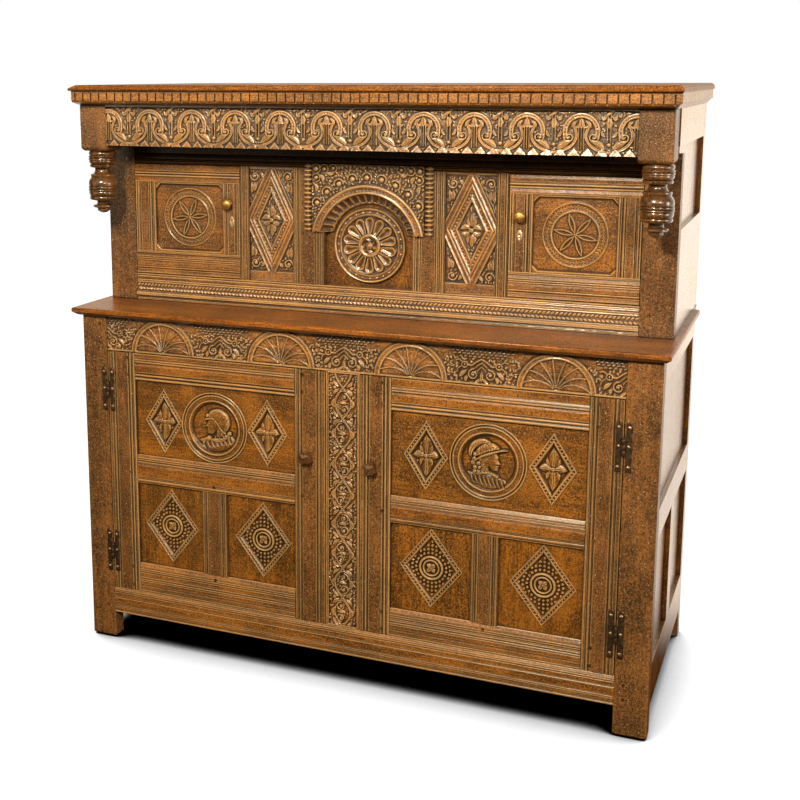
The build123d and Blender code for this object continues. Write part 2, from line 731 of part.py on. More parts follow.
for name, door in upper_doors.items():
    left, right = door["opening"]
    housing = [(grown((left, right), tongue), upper_panel_y, grown(upper_levels, tongue))]
    wheel_x, wheel_z = door["wheel"]
    members = []
    for span in ((door["x"][0], left), (right, door["x"][1])):
        stile = moulded_stile(span, upper_door_y, upper_door_z, lines_within(span, (0.2, 0.45, 0.8)),
                              housing)
        if span[0] < pivot_x(door) < span[1]:
            outer = span[0] if door["hinge_side"] < 0 else span[1]
            with BuildPart() as rounded:
                add(stile)
                front_edge = rounded.edges().filter_by(Axis.Z).filter_by_position(
                    Axis.X, outer - 0.1, outer + 0.1).sort_by(Axis.Y)[0]
                fillet(front_edge, 7.5)
                for z in (upper_door_z[0] + 5.0, upper_door_z[1] - 5.0):
                    with Locations((pivot_x(door), pivot_y, z)):
                        Cylinder(pivot_radius, 10.0, mode=Mode.SUBTRACT)
            stile = rounded.part
        members.append(stile)
    for span in ((upper_door_z[0], upper_levels[0]), (upper_levels[1], upper_door_z[1])):
        members.append(moulded_rail((left, right), upper_door_y, span,
                                    lines_within(span, (0.2, 0.5, 0.8)), housing))
    save(f"upper_{name}_door_frame", *members)

    with BuildPart() as door_panel:
        block(*housing[0])
        with BuildSketch(Plane.XZ.offset(-upper_panel_y[0])):
            with Locations((middle((left, right)), middle(upper_levels))):
                Rectangle(right - left, length(upper_levels))
                Rectangle(right - left - 18.0, length(upper_levels) - 18.0, mode=Mode.SUBTRACT)
            for corner_x in (left, right):
                for corner_z in upper_levels:
                    with Locations((corner_x, corner_z)):
                        Circle(26.0)
            with Locations((middle((left, right)), middle(upper_levels))):
                Rectangle(right - left, length(upper_levels), mode=Mode.INTERSECT)
            with Locations((wheel_x, wheel_z)):
                Circle(wheel_radius)
                Circle(wheel_inner, mode=Mode.SUBTRACT)
        extrude(amount=4.0)
    save(f"upper_{name}_door_panel", door_panel.part)

    knob_x, knob_z = door["knob"]
    with BuildPart() as door_knob:
        with BuildSketch(Plane.XY):
            with BuildLine():
                Polyline((0, 0), (9.0, 0), (5.0, -3.5), (4.5, -8.0), (10.5, -10.5),
                         (upper_knob_radius, -15.0), (10.5, -20.5), (0, -24.0), close=True)
            make_face()
        revolve(axis=Axis.Y, revolution_arc=360)
    save(f"upper_{name}_door_knob", Pos(knob_x, upper_front, knob_z) * door_knob.part)

    inward = -door["hinge_side"]
    edge = door["x"][1] if inward > 0 else door["x"][0]
    case_x = tuple(sorted((edge - inward * 62.0, edge - inward * 1.0)))
    case_y = (upper_door_y[1], upper_door_y[1] + lock_plate_thick)
    bolt_x = tuple(sorted((edge - inward * 34.0, edge - inward * 0.5)))
    guide = ((bolt_x[0] - bolt_throw - 3.0, bolt_x[1] + bolt_throw + 3.0),
             grown(bolt_y, 0.4), grown((lock_z - bolt_height / 2, lock_z + bolt_height / 2), 0.4))
    lock_case = timber(case_x, case_y, (lock_z - 34.0, lock_z + 34.0), [guide])
    pivots = []
    for z, direction in ((upper_door_z[0], -1), (upper_door_z[1], 1)):
        span = tuple(sorted((z - direction * 10.0, z + direction * pivot_reach)))
        with BuildPart() as pivot:
            with Locations((pivot_x(door), pivot_y, middle(span))):
                Cylinder(pivot_radius, length(span))
        pivots.append(pivot.part)
    save(f"upper_{name}_door_irons", lock_case, *pivots)
    save(f"upper_{name}_door_bolt", timber(bolt_x, bolt_y, (lock_z - bolt_height / 2,
                                                           lock_z + bolt_height / 2)))

# ---------------------------------------------------------------- upper stage: sides and back
upper_side_y = (upper_y[1], back_y[0])
upper_side_rails = {"bottom": (table_top, 1006.0), "frieze": (1372.0, frieze_top)}
board_joint = 1176.0
frieze_rail_across = {-1: (cornice_faces[0], -722.0), 1: (722.0, cornice_faces[1])}
upper_members, upper_boards = [], []
for side in (-1, 1):
    face_x = mirrored((side_panel_face - panel_thick, side_panel_face), side)
    panel = (face_x, upper_side_y, (board_joint, upper_side_rails["frieze"][0] + tongue))
    flush = (mirrored((side_inner + 2.0, half_width), side), upper_side_y,
             (upper_side_rails["bottom"][1], board_joint))
    rail_across = mirrored((side_inner, half_width), side)
    upper_members.append(timber(rail_across, upper_side_y, upper_side_rails["bottom"]))
    upper_members.append(timber(frieze_rail_across[side],
                                (frieze_front + block_size, back_y[0]),
                                upper_side_rails["frieze"], [panel]))
    upper_boards += [timber(*panel), timber(*flush)]
save("upper_side_rails", *upper_members)
save("upper_side_panels", *upper_boards)
back_assembly("upper_back", (table_top, 985.0), (1380.0, canopy_top))

# ---------------------------------------------------------------- canopy
frieze_thick = 28.0
block_x = (747.0 - block_size, 747.0)
block_y = (frieze_front, frieze_front + block_size)
frieze_x = (-block_x[0], block_x[0])

with BuildPart() as frieze_rail:
    block(frieze_x, (frieze_front, frieze_front + frieze_thick), (soffit_under, frieze_top))
    with BuildSketch(Plane.YZ.offset(frieze_x[0])):
        with Locations((frieze_front, frieze_top - 7.0)):
            Rectangle(groove_side, groove_side, rotation=45)
    extrude(amount=length(frieze_x), mode=Mode.SUBTRACT)
save("frieze_rail", frieze_rail.part)

soffit_y = (frieze_front + frieze_thick, back_rail_y[0])
soffit_edges = (soffit_y[0], soffit_y[0] + 190.0, soffit_y[0] + 385.0, soffit_y[1])
soffit_half = 722.0
soffit_cut = []
for side in (-1, 1):
    soffit_cut.append((mirrored(block_x, side), grown(block_y, 0.0), (soffit_under - 50, frieze_top)))
    soffit_cut.append((mirrored((half_width - back_stile_width, half_width), side), back_y,
                       (soffit_under - 50, frieze_top)))
save("soffit_boards", *[
    timber((-soffit_half, soffit_half), (start, end), (soffit_under, soffit_under + 12.0), soffit_cut)
    for start, end in zip(soffit_edges, soffit_edges[1:])])


def corner_block(side):
    """A square post end, its foot rounded towards the turned pendant."""
    with BuildPart() as post:
        block(mirrored(block_x, side), block_y, (block_under, frieze_top))
        fillet(post.edges().group_by(Axis.Z)[0], 11.0)
    return post.part


save("corner_blocks", corner_block(-1), corner_block(1))

# the pendant's outline: radius at each height, from the block down to the button
with BuildPart() as pendant:
    with BuildSketch(Plane.XZ):
        with BuildLine():
            Line((0, block_under), (31.0, block_under))
            Spline((31.0, block_under), (35.0, 1330.0), (33.5, 1324.5))
            Polyline((33.5, 1324.5), (36.0, 1323.0), (36.0, 1319.0), (34.0, 1317.8), (36.0, 1316.6),
                     (36.0, 1312.5), (34.5, 1311.5))
            Spline((34.5, 1311.5), (34.5, 1306.0), (29.0, 1301.0))
            Polyline((29.0, 1301.0), (33.0, 1300.0), (33.0, 1293.5), (21.0, 1291.0))
            Spline((21.0, 1291.0), (20.0, 1286.0), (25.0, 1276.5))
            Polyline((25.0, 1276.5), (31.8, 1275.5), (31.8, 1268.5), (31.0, 1266.0))
            Spline((31.0, 1266.0), (37.5, 1255.0), (37.0, 1244.0))
            Polyline((37.0, 1244.0), (38.3, 1242.5), (38.3, 1238.0), (36.5, 1236.8), (38.3, 1235.6),
                     (38.3, 1232.0), (37.0, 1230.5))
            Spline((37.0, 1230.5), (36.8, 1223.0), (33.5, 1217.5))
            Polyline((33.5, 1217.5), (35.5, 1216.0), (35.5, 1209.5), (17.0, 1204.5), (16.4, 1199.0),
                     (19.0, 1195.5), (27.0, 1194.0), (27.5, 1190.0), (17.0, 1186.5), (16.0, 1181.0),
                     (11.0, 1176.5), (5.0, 1172.5), (0, 1172.5), (0, block_under))
        make_face()
    revolve(axis=Axis.Z, revolution_arc=360)
save("pendants", *[Pos(place, pendant_y, 0) * pendant.part for place in pendant_places])

# cornice: an undercut face sawn into dentils, its right end moulded to run on along the side
cornice_reach_y = frieze_front - 38.0
cornice_back = frieze_front + 30.0
dentil_profile = [(cornice_back, frieze_top), (frieze_front, frieze_top), (frieze_front - 14.0, 1457.5),
                  (frieze_front - 33.0, 1462.0), (cornice_reach_y, 1467.0),
                  (cornice_reach_y, canopy_top), (cornice_back, canopy_top)]
return_profile = [(cornice_faces[1], frieze_top), (cornice_faces[1] + 9.0, 1465.0),
                  (cornice_ends[1], 1468.0), (cornice_ends[1], canopy_top)]


def cornice_section(inner, y_span):
    """The outline of the right end, from an inner X, extruded along Y."""
    with BuildPart() as section:
        with BuildSketch(Plane.XZ.offset(-y_span[0])):
            with BuildLine():
                Polyline((inner, frieze_top), *return_profile, (inner, canopy_top), close=True)
            make_face()
        extrude(amount=-length(y_span))
    return section.part


with BuildPart() as dentil_cornice:
    with BuildSketch(Plane.YZ.offset(cornice_ends[0])):
        with BuildLine():
            Polyline(*dentil_profile, close=True)
        make_face()
    extrude(amount=length(cornice_ends))
    add(cornice_section(cornice_ends[0], (cornice_reach_y, cornice_back)), mode=Mode.INTERSECT)
    with Locations(*[(index * dentil_pitch + dentil_first, cornice_reach_y, (1460.0 + 1486.0) / 2)
                     for index in range(dentil_count)]):
        Box(dentil_gap, 2 * dentil_sink, 1486.0 - 1460.0, mode=Mode.SUBTRACT)

back_posts = [(mirrored((half_width - back_stile_width, half_width), side), back_y, (0, canopy_top))
              for side in (-1, 1)]
with BuildPart() as right_return:
    add(cornice_section(722.0, (cornice_back, back)))
    block(*back_posts[1], mode=Mode.SUBTRACT)
left_return = timber((cornice_faces[0], -722.0), (cornice_back, back_y[0]), (frieze_top, canopy_top))
save("cornice", dentil_cornice.part, left_return, right_return.part)

top_edges_y = (-overall_depth / 2, -110.0, 120.0, back)
top_ends = (-749.0, 767.0)
top_pieces = []
for index, (start, end) in enumerate(zip(top_edges_y, top_edges_y[1:])):
    with BuildPart() as top_board:
        block(top_ends, (start, end), (canopy_top, total_height))
        if index == 0:
            fillet(top_board.edges().filter_by(Axis.X).sort_by(Axis.Y)[:2], 5.0)
        # the ends are worn to a slope
        for place, fall, run in ((top_ends[0], 9.0, 24.0), (top_ends[1], 6.0, 7.0)):
            with BuildSketch(Plane.XZ.offset(-start + 1.0)):
                inward = 1 if place < 0 else -1
                with BuildLine():
                    Polyline((place, total_height - fall), (place + inward * run, total_height),
                             (place - inward, total_height + 1.0), (place - inward, total_height - fall),
                             close=True)
                make_face()
            extrude(amount=-(end - start + 2.0), mode=Mode.SUBTRACT)
    top_pieces.append(top_board.part)
save("top_boards", *top_pieces)

# ---------------------------------------------------------------- pegs of the fixed frame
frame_places = []
for x in (opening_left[0] - 22.0, opening_right[1] + 22.0):
    for z in (835.0, 885.0, 95.0, 132.0):
        frame_places.append((x, z))
upper_places = []
for x in (upper_opening_left[0] - 22.0, upper_opening_right[1] + 22.0):
    for z in (945.0, 980.0, 1310.0, 1340.0):
        upper_places.append((x, z))
save("frame_pegs", *pegs_at(frame_places, base_front), *pegs_at(upper_places, upper_front))
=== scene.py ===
import math

import bmesh
import bpy
import numpy as np
from mathutils import Matrix, Vector


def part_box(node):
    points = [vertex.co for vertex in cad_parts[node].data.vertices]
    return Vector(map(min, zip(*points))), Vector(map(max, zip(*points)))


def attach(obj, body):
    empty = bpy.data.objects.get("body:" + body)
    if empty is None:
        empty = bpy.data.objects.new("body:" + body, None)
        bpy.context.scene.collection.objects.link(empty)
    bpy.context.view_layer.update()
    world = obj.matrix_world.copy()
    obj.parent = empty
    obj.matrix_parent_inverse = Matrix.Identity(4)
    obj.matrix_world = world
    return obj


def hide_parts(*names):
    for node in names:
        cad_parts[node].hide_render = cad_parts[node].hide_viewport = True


# Court cupboard in joined oak. The frame is in metres; carving is worked out in millimetres,
# with X across the front, Z up and heights towards the viewer, and scaled when it is meshed.
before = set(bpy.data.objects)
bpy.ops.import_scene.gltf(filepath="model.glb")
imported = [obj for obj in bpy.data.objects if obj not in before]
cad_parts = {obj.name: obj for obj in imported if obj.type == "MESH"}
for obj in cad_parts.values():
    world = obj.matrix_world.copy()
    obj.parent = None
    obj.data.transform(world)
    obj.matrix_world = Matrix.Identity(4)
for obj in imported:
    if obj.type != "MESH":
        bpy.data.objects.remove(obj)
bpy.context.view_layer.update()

MM = 0.001


# ------------------------------------------------------------------ places, from the frame
def node_box(node):
    """A node's lowest and highest corner in millimetres."""
    low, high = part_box(node)
    return [value / MM for value in low], [value / MM for value in high]


def spans(node):
    """A node's (low, high) along X, Y and Z in millimetres."""
    low, high = node_box(node)
    return list(zip(low, high))


def middle(span):
    return (span[0] + span[1]) / 2


def length(span):
    return span[1] - span[0]


# ------------------------------------------------------------------ materials
class Graph:
    """Shorthand for the nodes of one tree."""

    def __init__(self, tree):
        self.tree = tree
        tree.nodes.clear()

    def node(self, kind, inputs=None, **settings):
        made = self.tree.nodes.new(kind)
        for key, value in settings.items():
            setattr(made, key, value)
        for key, value in (inputs or {}).items():
            self.feed(made.inputs[key], value)
        return made

    def feed(self, socket, value):
        if isinstance(value, bpy.types.NodeSocket):
            self.tree.links.new(value, socket)
        else:
            socket.default_value = value

    def noise(self, place, scale, detail=2.0, roughness=0.55, distortion=0.0):
        return self.node("ShaderNodeTexNoise", {
            "Vector": place, "Scale": scale, "Detail": detail, "Roughness": roughness,
            "Distortion": distortion,
        }).outputs["Fac"]

    def between(self, value, low, high, to_low=0.0, to_high=1.0):
        """A smooth step of value from low to high."""
        return self.node("ShaderNodeMapRange", {
            "Value": value, "From Min": low, "From Max": high, "To Min": to_low, "To Max": to_high,
        }, interpolation_type="SMOOTHSTEP").outputs["Result"]

    def math(self, operation, first, second):
        return self.node("ShaderNodeMath", {0: first, 1: second}, operation=operation).outputs[0]

    def mix(self, factor, first, second):
        made = self.node("ShaderNodeMix", data_type="RGBA")
        for index, value in ((0, factor), (6, first), (7, second)):
            self.feed(made.inputs[index], value)
        return made.outputs[2]

    def laid(self, under, over, value, low, high, share=1.0):
        """One colour laid over another as a value steps from low to high, share of it at the most."""
        return self.mix(self.math("MULTIPLY", self.between(value, low, high), share), under, over)

    def ramp(self, value, stops):
        made = self.node("ShaderNodeValToRGB", {"Fac": value})
        points = made.color_ramp.elements
        while len(points) < len(stops):
            points.new(0.5)
        for point, (place, colour) in zip(points, stops):
            point.position = place
            point.color = colour
        return made.outputs["Color"]


class Surface(Graph):
    """The nodes of one material, round a Principled shader."""

    def __init__(self, name):
        self.material = bpy.data.materials.new(name)
        self.material.use_nodes = True
        super().__init__(self.material.node_tree)
        self.shader = self.node("ShaderNodeBsdfPrincipled")
        self.node("ShaderNodeOutputMaterial", {"Surface": self.shader.outputs["BSDF"]})

    def bump(self, height, strength, distance):
        made = self.node("ShaderNodeBump", {"Height": height, "Strength": strength, "Distance": distance})
        self.feed(self.shader.inputs["Normal"], made.outputs["Normal"])

    def set(self, **values):
        for key, value in values.items():
            self.feed(self.shader.inputs[key.replace("_", " ")], value)


def rgb(red, green, blue):
    """A colour written as its sRGB bytes, in the linear values that the shaders use."""
    def linear(byte):
        value = byte / 255
        return value / 12.92 if value <= 0.04045 else ((value + 0.055) / 1.055) ** 2.4
    return (linear(red), linear(green), linear(blue), 1.0)


def mixed(first, second, share):
    """A colour between two, share of the way to the second."""
    return tuple(a + (b - a) * share for a, b in zip(first, second))


GRAIN_STRETCH = {"x": (0.08, 1, 1), "y": (1, 0.08, 1), "z": (1, 1, 0.08)}


def oak(name, grain, deep, body, warm, wear_and_painted_light, roughness=0.40, coat=0.36, patches=1.0, mottle=1.0, edge=0.17,
        dust=0.0, gloss=0.40, film=0.25):
    """Polished oak: growth bands, fibres and open pores along the grain, a mottled skin of old
    wax, painted shade in the corners and hollows, and arrises and high places painted pale,
    partly wear and partly painted highlight."""
    g = Surface(name)
    place = g.node("ShaderNodeTexCoord").outputs["Object"]
    plank = g.node("ShaderNodeAttribute", attribute_name="plank").outputs["Fac"]
    board = g.node("ShaderNodeVectorMath", {0: place, 1: plank}, operation="ADD").outputs["Vector"]
    along = g.node("ShaderNodeMapping", {"Vector": board, "Scale": GRAIN_STRETCH[grain]}).outputs["Vector"]

    bands = g.noise(along, 26.0, detail=3.0, distortion=0.6)
    fibres = g.noise(along, 240.0, detail=3.0)
    pores = g.noise(along, 800.0, detail=1.0)
    broad = g.noise(board, 9.0, detail=3.0, roughness=0.55)
    skin = g.noise(board, 240.0, detail=4.0, roughness=0.68)
    speck = g.noise(board, 520.0, detail=2.0, roughness=0.6)

    figure = g.math("ADD", g.math("MULTIPLY", bands, 0.5), g.math("MULTIPLY", fibres, 0.5))
    wood = g.ramp(figure, [(0.38, mixed(deep, body, 0.35)), (0.50, body), (0.62, warm)])
    wood = g.laid(wood, warm, broad, 0.50, 0.66, 0.6 * patches)
    wood = g.laid(wood, deep, broad, 0.48, 0.32, 0.55 * patches)
    wood = g.laid(wood, deep, skin, 0.50, 0.62, 0.84 * mottle)
    wood = g.laid(wood, warm, skin, 0.49, 0.38, 0.72 * mottle)
    wood = g.laid(wood, deep, pores, 0.60, 0.68, 0.4)
    wood = g.laid(wood, deep, speck, 0.54, 0.64, 0.72 * mottle)
    wood = g.laid(wood, wear_and_painted_light, speck, 0.43, 0.33, 0.26 * mottle)

    patchy = g.math("MULTIPLY", g.math("SUBTRACT", skin, 0.5), 0.9)
    relief, arris = (
        g.math("ADD", g.node("ShaderNodeAttribute", attribute_name=label).outputs["Fac"], patchy)
        for label in ("relief", "arris"))
    # pale colour mixed onto high places and arrises: partly wear, partly painted highlight
    wear_and_highlight_share = g.math("ADD", g.math("MULTIPLY", g.between(relief, 0.10, 0.90), 0.08),
                    g.math("MULTIPLY", g.between(arris, 0.12, 0.80), edge))
    # painted shade: the hollows of the carving are darkened towards near black
    hollow = mixed(deep, (0, 0, 0, 1), 0.55)
    wood = g.mix(wear_and_highlight_share, wood, wear_and_painted_light)
    wood = g.laid(wood, hollow, relief, -0.10, -0.75, 0.78)
    # painted shade: the colour darkens where ambient occlusion finds close surfaces, in corners and under
    # parts
    corner = g.node("ShaderNodeAmbientOcclusion", {"Distance": 0.020}, samples=6).outputs["AO"]
    wood = g.laid(wood, hollow, corner, 0.78, 0.34, 0.88)
    if dust:
        wood = g.laid(wood, rgb(226, 206, 178), g.noise(board, 300.0, detail=1.0), 0.71, 0.76, dust)

    dull = g.math("MULTIPLY", g.math("SUBTRACT", broad, 0.5), 0.25)
    shine = g.math("ADD", g.math("ADD", dull, roughness),
                   g.math("MULTIPLY", g.between(skin, 0.5, 0.66), 0.14))
    height = g.math("ADD", g.math("MULTIPLY", fibres, 0.5), skin)
    height = g.math("SUBTRACT", height, g.math("MULTIPLY", g.between(pores, 0.56, 0.66), 0.5))
    g.bump(height, 0.4, 0.0008)
    g.set(Base_Color=wood, Roughness=shine, IOR=1.5, Specular_IOR_Level=gloss, Coat_Weight=coat,
          Coat_Roughness=film)
    return g.material


def wrought(name, colour, rust, roughness=0.45):
    """Hand-forged iron, blackened and rubbed bright on its high places, with a little rust."""
    g = Surface(name)
    place = g.node("ShaderNodeTexCoord").outputs["Object"]
    hammer = g.noise(place, 130.0, detail=2.0)
    scale = g.noise(place, 700.0, detail=3.0, roughness=0.7)
    metal = g.mix(g.between(hammer, 0.42, 0.62), colour, tuple(1.7 * c for c in colour[:3]) + (1.0,))
    metal = g.laid(metal, rust, scale, 0.52, 0.66, 0.6)
    g.bump(g.math("ADD", hammer, g.math("MULTIPLY", scale, 0.4)), 0.6, 0.001)
    g.set(Base_Color=metal, Roughness=g.between(scale, 0.3, 0.7, roughness - 0.12, roughness + 0.15),
          Metallic=0.85)
    return g.material


DEEP = rgb(58, 31, 9)
BODY = rgb(126, 76, 24)
WARM = rgb(178, 110, 34)
WEAR_AND_HIGHLIGHT = rgb(244, 206, 144)

MATERIALS = {
    "rail": oak("oak_rail", "x", DEEP, BODY, WARM, WEAR_AND_HIGHLIGHT, edge=0.24),
    "cornice": oak("oak_cornice", "x", DEEP, rgb(144, 90, 32), rgb(192, 124, 46), WEAR_AND_HIGHLIGHT, coat=0.6),
    "top": oak("oak_top", "x", rgb(70, 36, 8), rgb(130, 73, 16), rgb(180, 105, 22), WEAR_AND_HIGHLIGHT,
               coat=0.2, gloss=0.15),
    "stile": oak("oak_stile", "z", rgb(52, 32, 17), rgb(108, 70, 34), rgb(152, 98, 48), WEAR_AND_HIGHLIGHT,
                 coat=0.25, dust=0.7, edge=0.22),
    "panel": oak("oak_panel", "x", rgb(48, 26, 6), rgb(118, 72, 17), rgb(176, 107, 22), WEAR_AND_HIGHLIGHT, edge=0.26),
    "upright_panel": oak("oak_upright_panel", "z", rgb(48, 26, 6), rgb(114, 69, 17), rgb(168, 102, 22),
                         WEAR_AND_HIGHLIGHT, edge=0.26),
    "carved": oak("oak_carved", "x", rgb(50, 27, 9), rgb(138, 86, 33), rgb(192, 124, 50), WEAR_AND_HIGHLIGHT,
                  roughness=0.33, coat=1.0, gloss=0.8, film=0.26, edge=0.26),
    "turned": oak("oak_turned", "z", rgb(20, 11, 5), rgb(72, 42, 16), rgb(130, 82, 30),
                  WEAR_AND_HIGHLIGHT, roughness=0.30, coat=1.0, mottle=0.5, gloss=0.5, film=0.16),
    "spool": oak("oak_spool", "z", rgb(50, 27, 9), rgb(146, 92, 36), rgb(200, 132, 56), WEAR_AND_HIGHLIGHT,
                 roughness=0.33, coat=1.0, gloss=0.6, film=0.22),
    "table": oak("oak_table", "x", rgb(64, 32, 9), rgb(132, 77, 23), rgb(186, 108, 28),
                 rgb(236, 150, 50), roughness=0.32, coat=0.3, mottle=0.9),
    "side_rail": oak("oak_side_rail", "y", DEEP, BODY, WARM, WEAR_AND_HIGHLIGHT, roughness=0.26, coat=1.0, gloss=0.5),
    "side_stile": oak("oak_side_stile", "z", DEEP, BODY, WARM, WEAR_AND_HIGHLIGHT, roughness=0.26, coat=1.0, gloss=0.5),
    # painted shade: a darker copy of the oak for the soffit and the top rail, where the canopy's shadow
    # falls
    "painted_shade": oak("oak_painted_shade", "x", rgb(26, 14, 6), rgb(58, 35, 13), rgb(92, 56, 20), rgb(170, 128, 80),
                  gloss=0.2, coat=0.1),
    "inside": oak("oak_inside", "x", rgb(62, 42, 27), rgb(104, 76, 50), rgb(134, 100, 66),
                  rgb(152, 120, 84), roughness=0.72, coat=0.0, patches=0.6),
    "iron": wrought("wrought_iron", rgb(84, 66, 50), rgb(110, 72, 44)),
    "worn_iron": wrought("worn_iron", rgb(190, 164, 130), rgb(124, 88, 56), roughness=0.40),
    "nail": wrought("nail_iron", rgb(150, 126, 96), rgb(110, 76, 48), roughness=0.40),
    "brass": wrought("old_brass", rgb(182, 138, 76), rgb(110, 74, 38), roughness=0.40),
}


# ------------------------------------------------------------------ carving
def smooth(value):
    value = np.clip(value, 0.0, 1.0)
    return value * value * (3 - 2 * value)


def arc(centre, radius, start, end, count=24):
    """Points on a circle, angles in degrees anticlockwise from +X."""
    turns = np.radians(np.linspace(start, end, count))
    return np.column_stack([centre[0] + radius * np.cos(turns), centre[1] + radius * np.sin(turns)])


def curve(*points, count=28):
    """A Catmull-Rom curve through a few points."""
    knots = np.array([points[0], *points, points[-1]], dtype=float)
    pieces = []
    per = max(3, count // (len(points) - 1))
    for a, b, c, d in zip(knots, knots[1:], knots[2:], knots[3:]):
        t = np.linspace(0, 1, per, endpoint=False)[:, None]
        pieces.append(0.5 * (2 * b + (c - a) * t + (2 * a - 5 * b + 4 * c - d) * t ** 2
                             + (3 * b - a - 3 * c + d) * t ** 3))
    return np.vstack([*pieces, knots[-1:]])


def scroll(centre, radius, start, turns, inner=0.25, count=36):
    """A spiral from the outside in; positive turns run anticlockwise."""
    t = np.linspace(0, 1, count)
    angle = math.radians(start) + 2 * math.pi * turns * t
    reach = radius * (1 - (1 - inner) * t)
    return np.column_stack([centre[0] + reach * np.cos(angle), centre[1] + reach * np.sin(angle)])


# how far the relief mask looks round: it paints high places pale (wear with painted highlight) and hollows
# dark (painted shade)
RELIEF_REACH = 5.0
ARRIS_REACH = 2.0


class Board:
    """The face of a board as a grid of heights, which the methods raise and cut.

    `face` is the height of the uncut face and `ground` that of the sunk ground, both over the
    plane that the board is meshed on."""

    def __init__(self, across, up, step=1.0, face=0.0, ground=-4.0):
        columns = max(3, round(length(across) / step) + 1)
        rows = max(3, round(length(up) / step) + 1)
        self.x, self.z = np.meshgrid(np.linspace(*across, columns), np.linspace(*up, rows))
        self.gauge(face, ground)

    def gauge(self, face, ground):
        self.face, self.ground = face, ground
        self.h = np.full(self.x.shape, float(face))
        self.closed = False
        self.regular = True
        return self

    @classmethod
    def mapped(cls, x, z, face=0.0, ground=-4.0, closed=False):
        """A board over any structured grid, such as a ring; closed joins the last column to the first."""
        made = cls.__new__(cls)
        made.x, made.z = x, z
        made.gauge(face, ground)
        made.regular, made.closed = False, closed
        return made

    def near(self, low_x, high_x, low_z, high_z):
        """The cells in a window, as an index into the grid."""
        if self.regular:
            columns = np.searchsorted(self.x[0], (low_x, high_x))
            rows = np.searchsorted(self.z[:, 0], (low_z, high_z))
            return np.s_[rows[0]:rows[1] + 1, columns[0]:columns[1] + 1]
        inside = (self.x >= low_x) & (self.x <= high_x) & (self.z >= low_z) & (self.z <= high_z)
        return np.nonzero(inside)

    def around(self, centre, reach):
        near = self.near(centre[0] - reach, centre[0] + reach, centre[1] - reach, centre[1] + reach)
        return near, self.x[near] - centre[0], self.z[near] - centre[1]

    def follow(self, path, reach):
        """The cells near a path: how far off it and how far along it, 0 to 1."""
        path = np.asarray(path, dtype=float)
        low, high = path.min(axis=0) - reach, path.max(axis=0) + reach
        near = self.near(low[0], high[0], low[1], high[1])
        x, z = self.x[near], self.z[near]
        off, run = np.full(x.shape, 1e3), np.zeros(x.shape)
        steps = np.diff(path, axis=0)
        lengths = np.maximum(np.hypot(steps[:, 0], steps[:, 1]), 1e-6)
        start = 0.0
        for (ax, az), (dx, dz), size in zip(path, steps, lengths):
            px, pz = x - ax, z - az
            t = np.clip((px * dx + pz * dz) / size ** 2, 0, 1)
            gap = np.hypot(px - t * dx, pz - t * dz)
            closer = gap < off
            off = np.where(closer, gap, off)
            run = np.where(closer, start + t * size, run)
            start += size
        return near, off, run / start

    # ---- raising
    def lift(self, near, share, top):
        """Raise cells towards top, from the ground at share 0 to top at share 1."""
        raised = self.ground + (top - self.ground) * share
        self.h[near] = np.where(share > 0, np.maximum(self.h[near], raised), self.h[near])

    def strap(self, path, half, top=None, edge=1.6, hollow=0.0, taper=None, crown=0.36):
        """A raised band along a path: crowned, with eased edges and a hollow down its middle."""
        top = self.face if top is None else top
        near, off, run = self.follow(path, half + 2)
        wide = np.maximum(half if taper is None else half * taper(run), 0.1)
        share = smooth((wide - off) / edge)
        groove = hollow * smooth(1 - off / (wide * 0.62)) + crown * wide * np.minimum(off / wide, 1) ** 2
        self.lift(near, share, top - groove)

    def leaf(self, path, half, top=None, crease=1.0, fullest=0.45):
        """A leaf or petal along a path, pointed at both ends, its two sides falling from a cut vein."""
        top = self.face if top is None else top
        near, off, run = self.follow(path, half + 2)
        power = math.log(0.5) / math.log(fullest)
        wide = half * np.sin(np.pi * np.clip(run, 0, 1) ** power) + 0.3
        share = smooth((wide - off) / 1.5)
        vein = crease * smooth(1 - off / 1.3) + 0.40 * wide * np.minimum(off / wide, 1) ** 1.4
        self.lift(near, share, top - vein)

    def boss(self, centre, radius, top=None, flat=0.2):
        """A domed button."""
        top = self.face if top is None else top
        near, x, z = self.around(centre, radius + 1)
        reach = np.hypot(x, z) / radius
        dome = np.sqrt(np.clip(1 - np.clip((reach - flat) / (1 - flat), 0, 1) ** 2, 0, 1))
        self.lift(near, np.where(reach < 1, dome, 0), top)

    def ring(self, centre, inner, outer, top=None, edge=1.5):
        top = self.face if top is None else top
        near, x, z = self.around(centre, outer + 1)
        reach = np.hypot(x, z)
        share = smooth((outer - reach) / edge) * smooth((reach - inner) / edge)
        self.lift(near, share, top)

    def bead(self, centre, radius, half, top=None):
        """A round-topped ring."""
        top = self.face if top is None else top
        near, x, z = self.around(centre, radius + half + 1)
        off = np.abs(np.hypot(x, z) - radius) / half
        self.lift(near, np.sqrt(np.clip(1 - off ** 2, 0, 1)), top)

    # ---- cutting
    def sink(self, near, share, depth=None):
        """Sink cells to a depth, or to the ground, where share is 1."""
        level = self.ground if depth is None else depth
        self.h[near] = self.h[near] + (level - self.h[near]) * share

    def cut(self, path, half, depth, taper=False):
        """A V-tool cut along a path."""
        near, off, run = self.follow(path, half + 1)
        deep = depth * (np.sin(np.pi * run) ** 0.5 if taper else 1.0)
        self.h[near] -= deep * np.clip(1 - off / half, 0, 1)

    def gouge(self, path, half, depth, taper=True):
        """A round gouge cut along a path, fading out at its ends."""
        near, off, run = self.follow(path, half + 1)
        wide = half * (np.clip(np.sin(np.pi * run), 0, 1) ** 0.5 if taper else 1.0) + 1e-3
        self.h[near] -= depth * np.sqrt(np.clip(1 - (off / wide) ** 2, 0, 1))

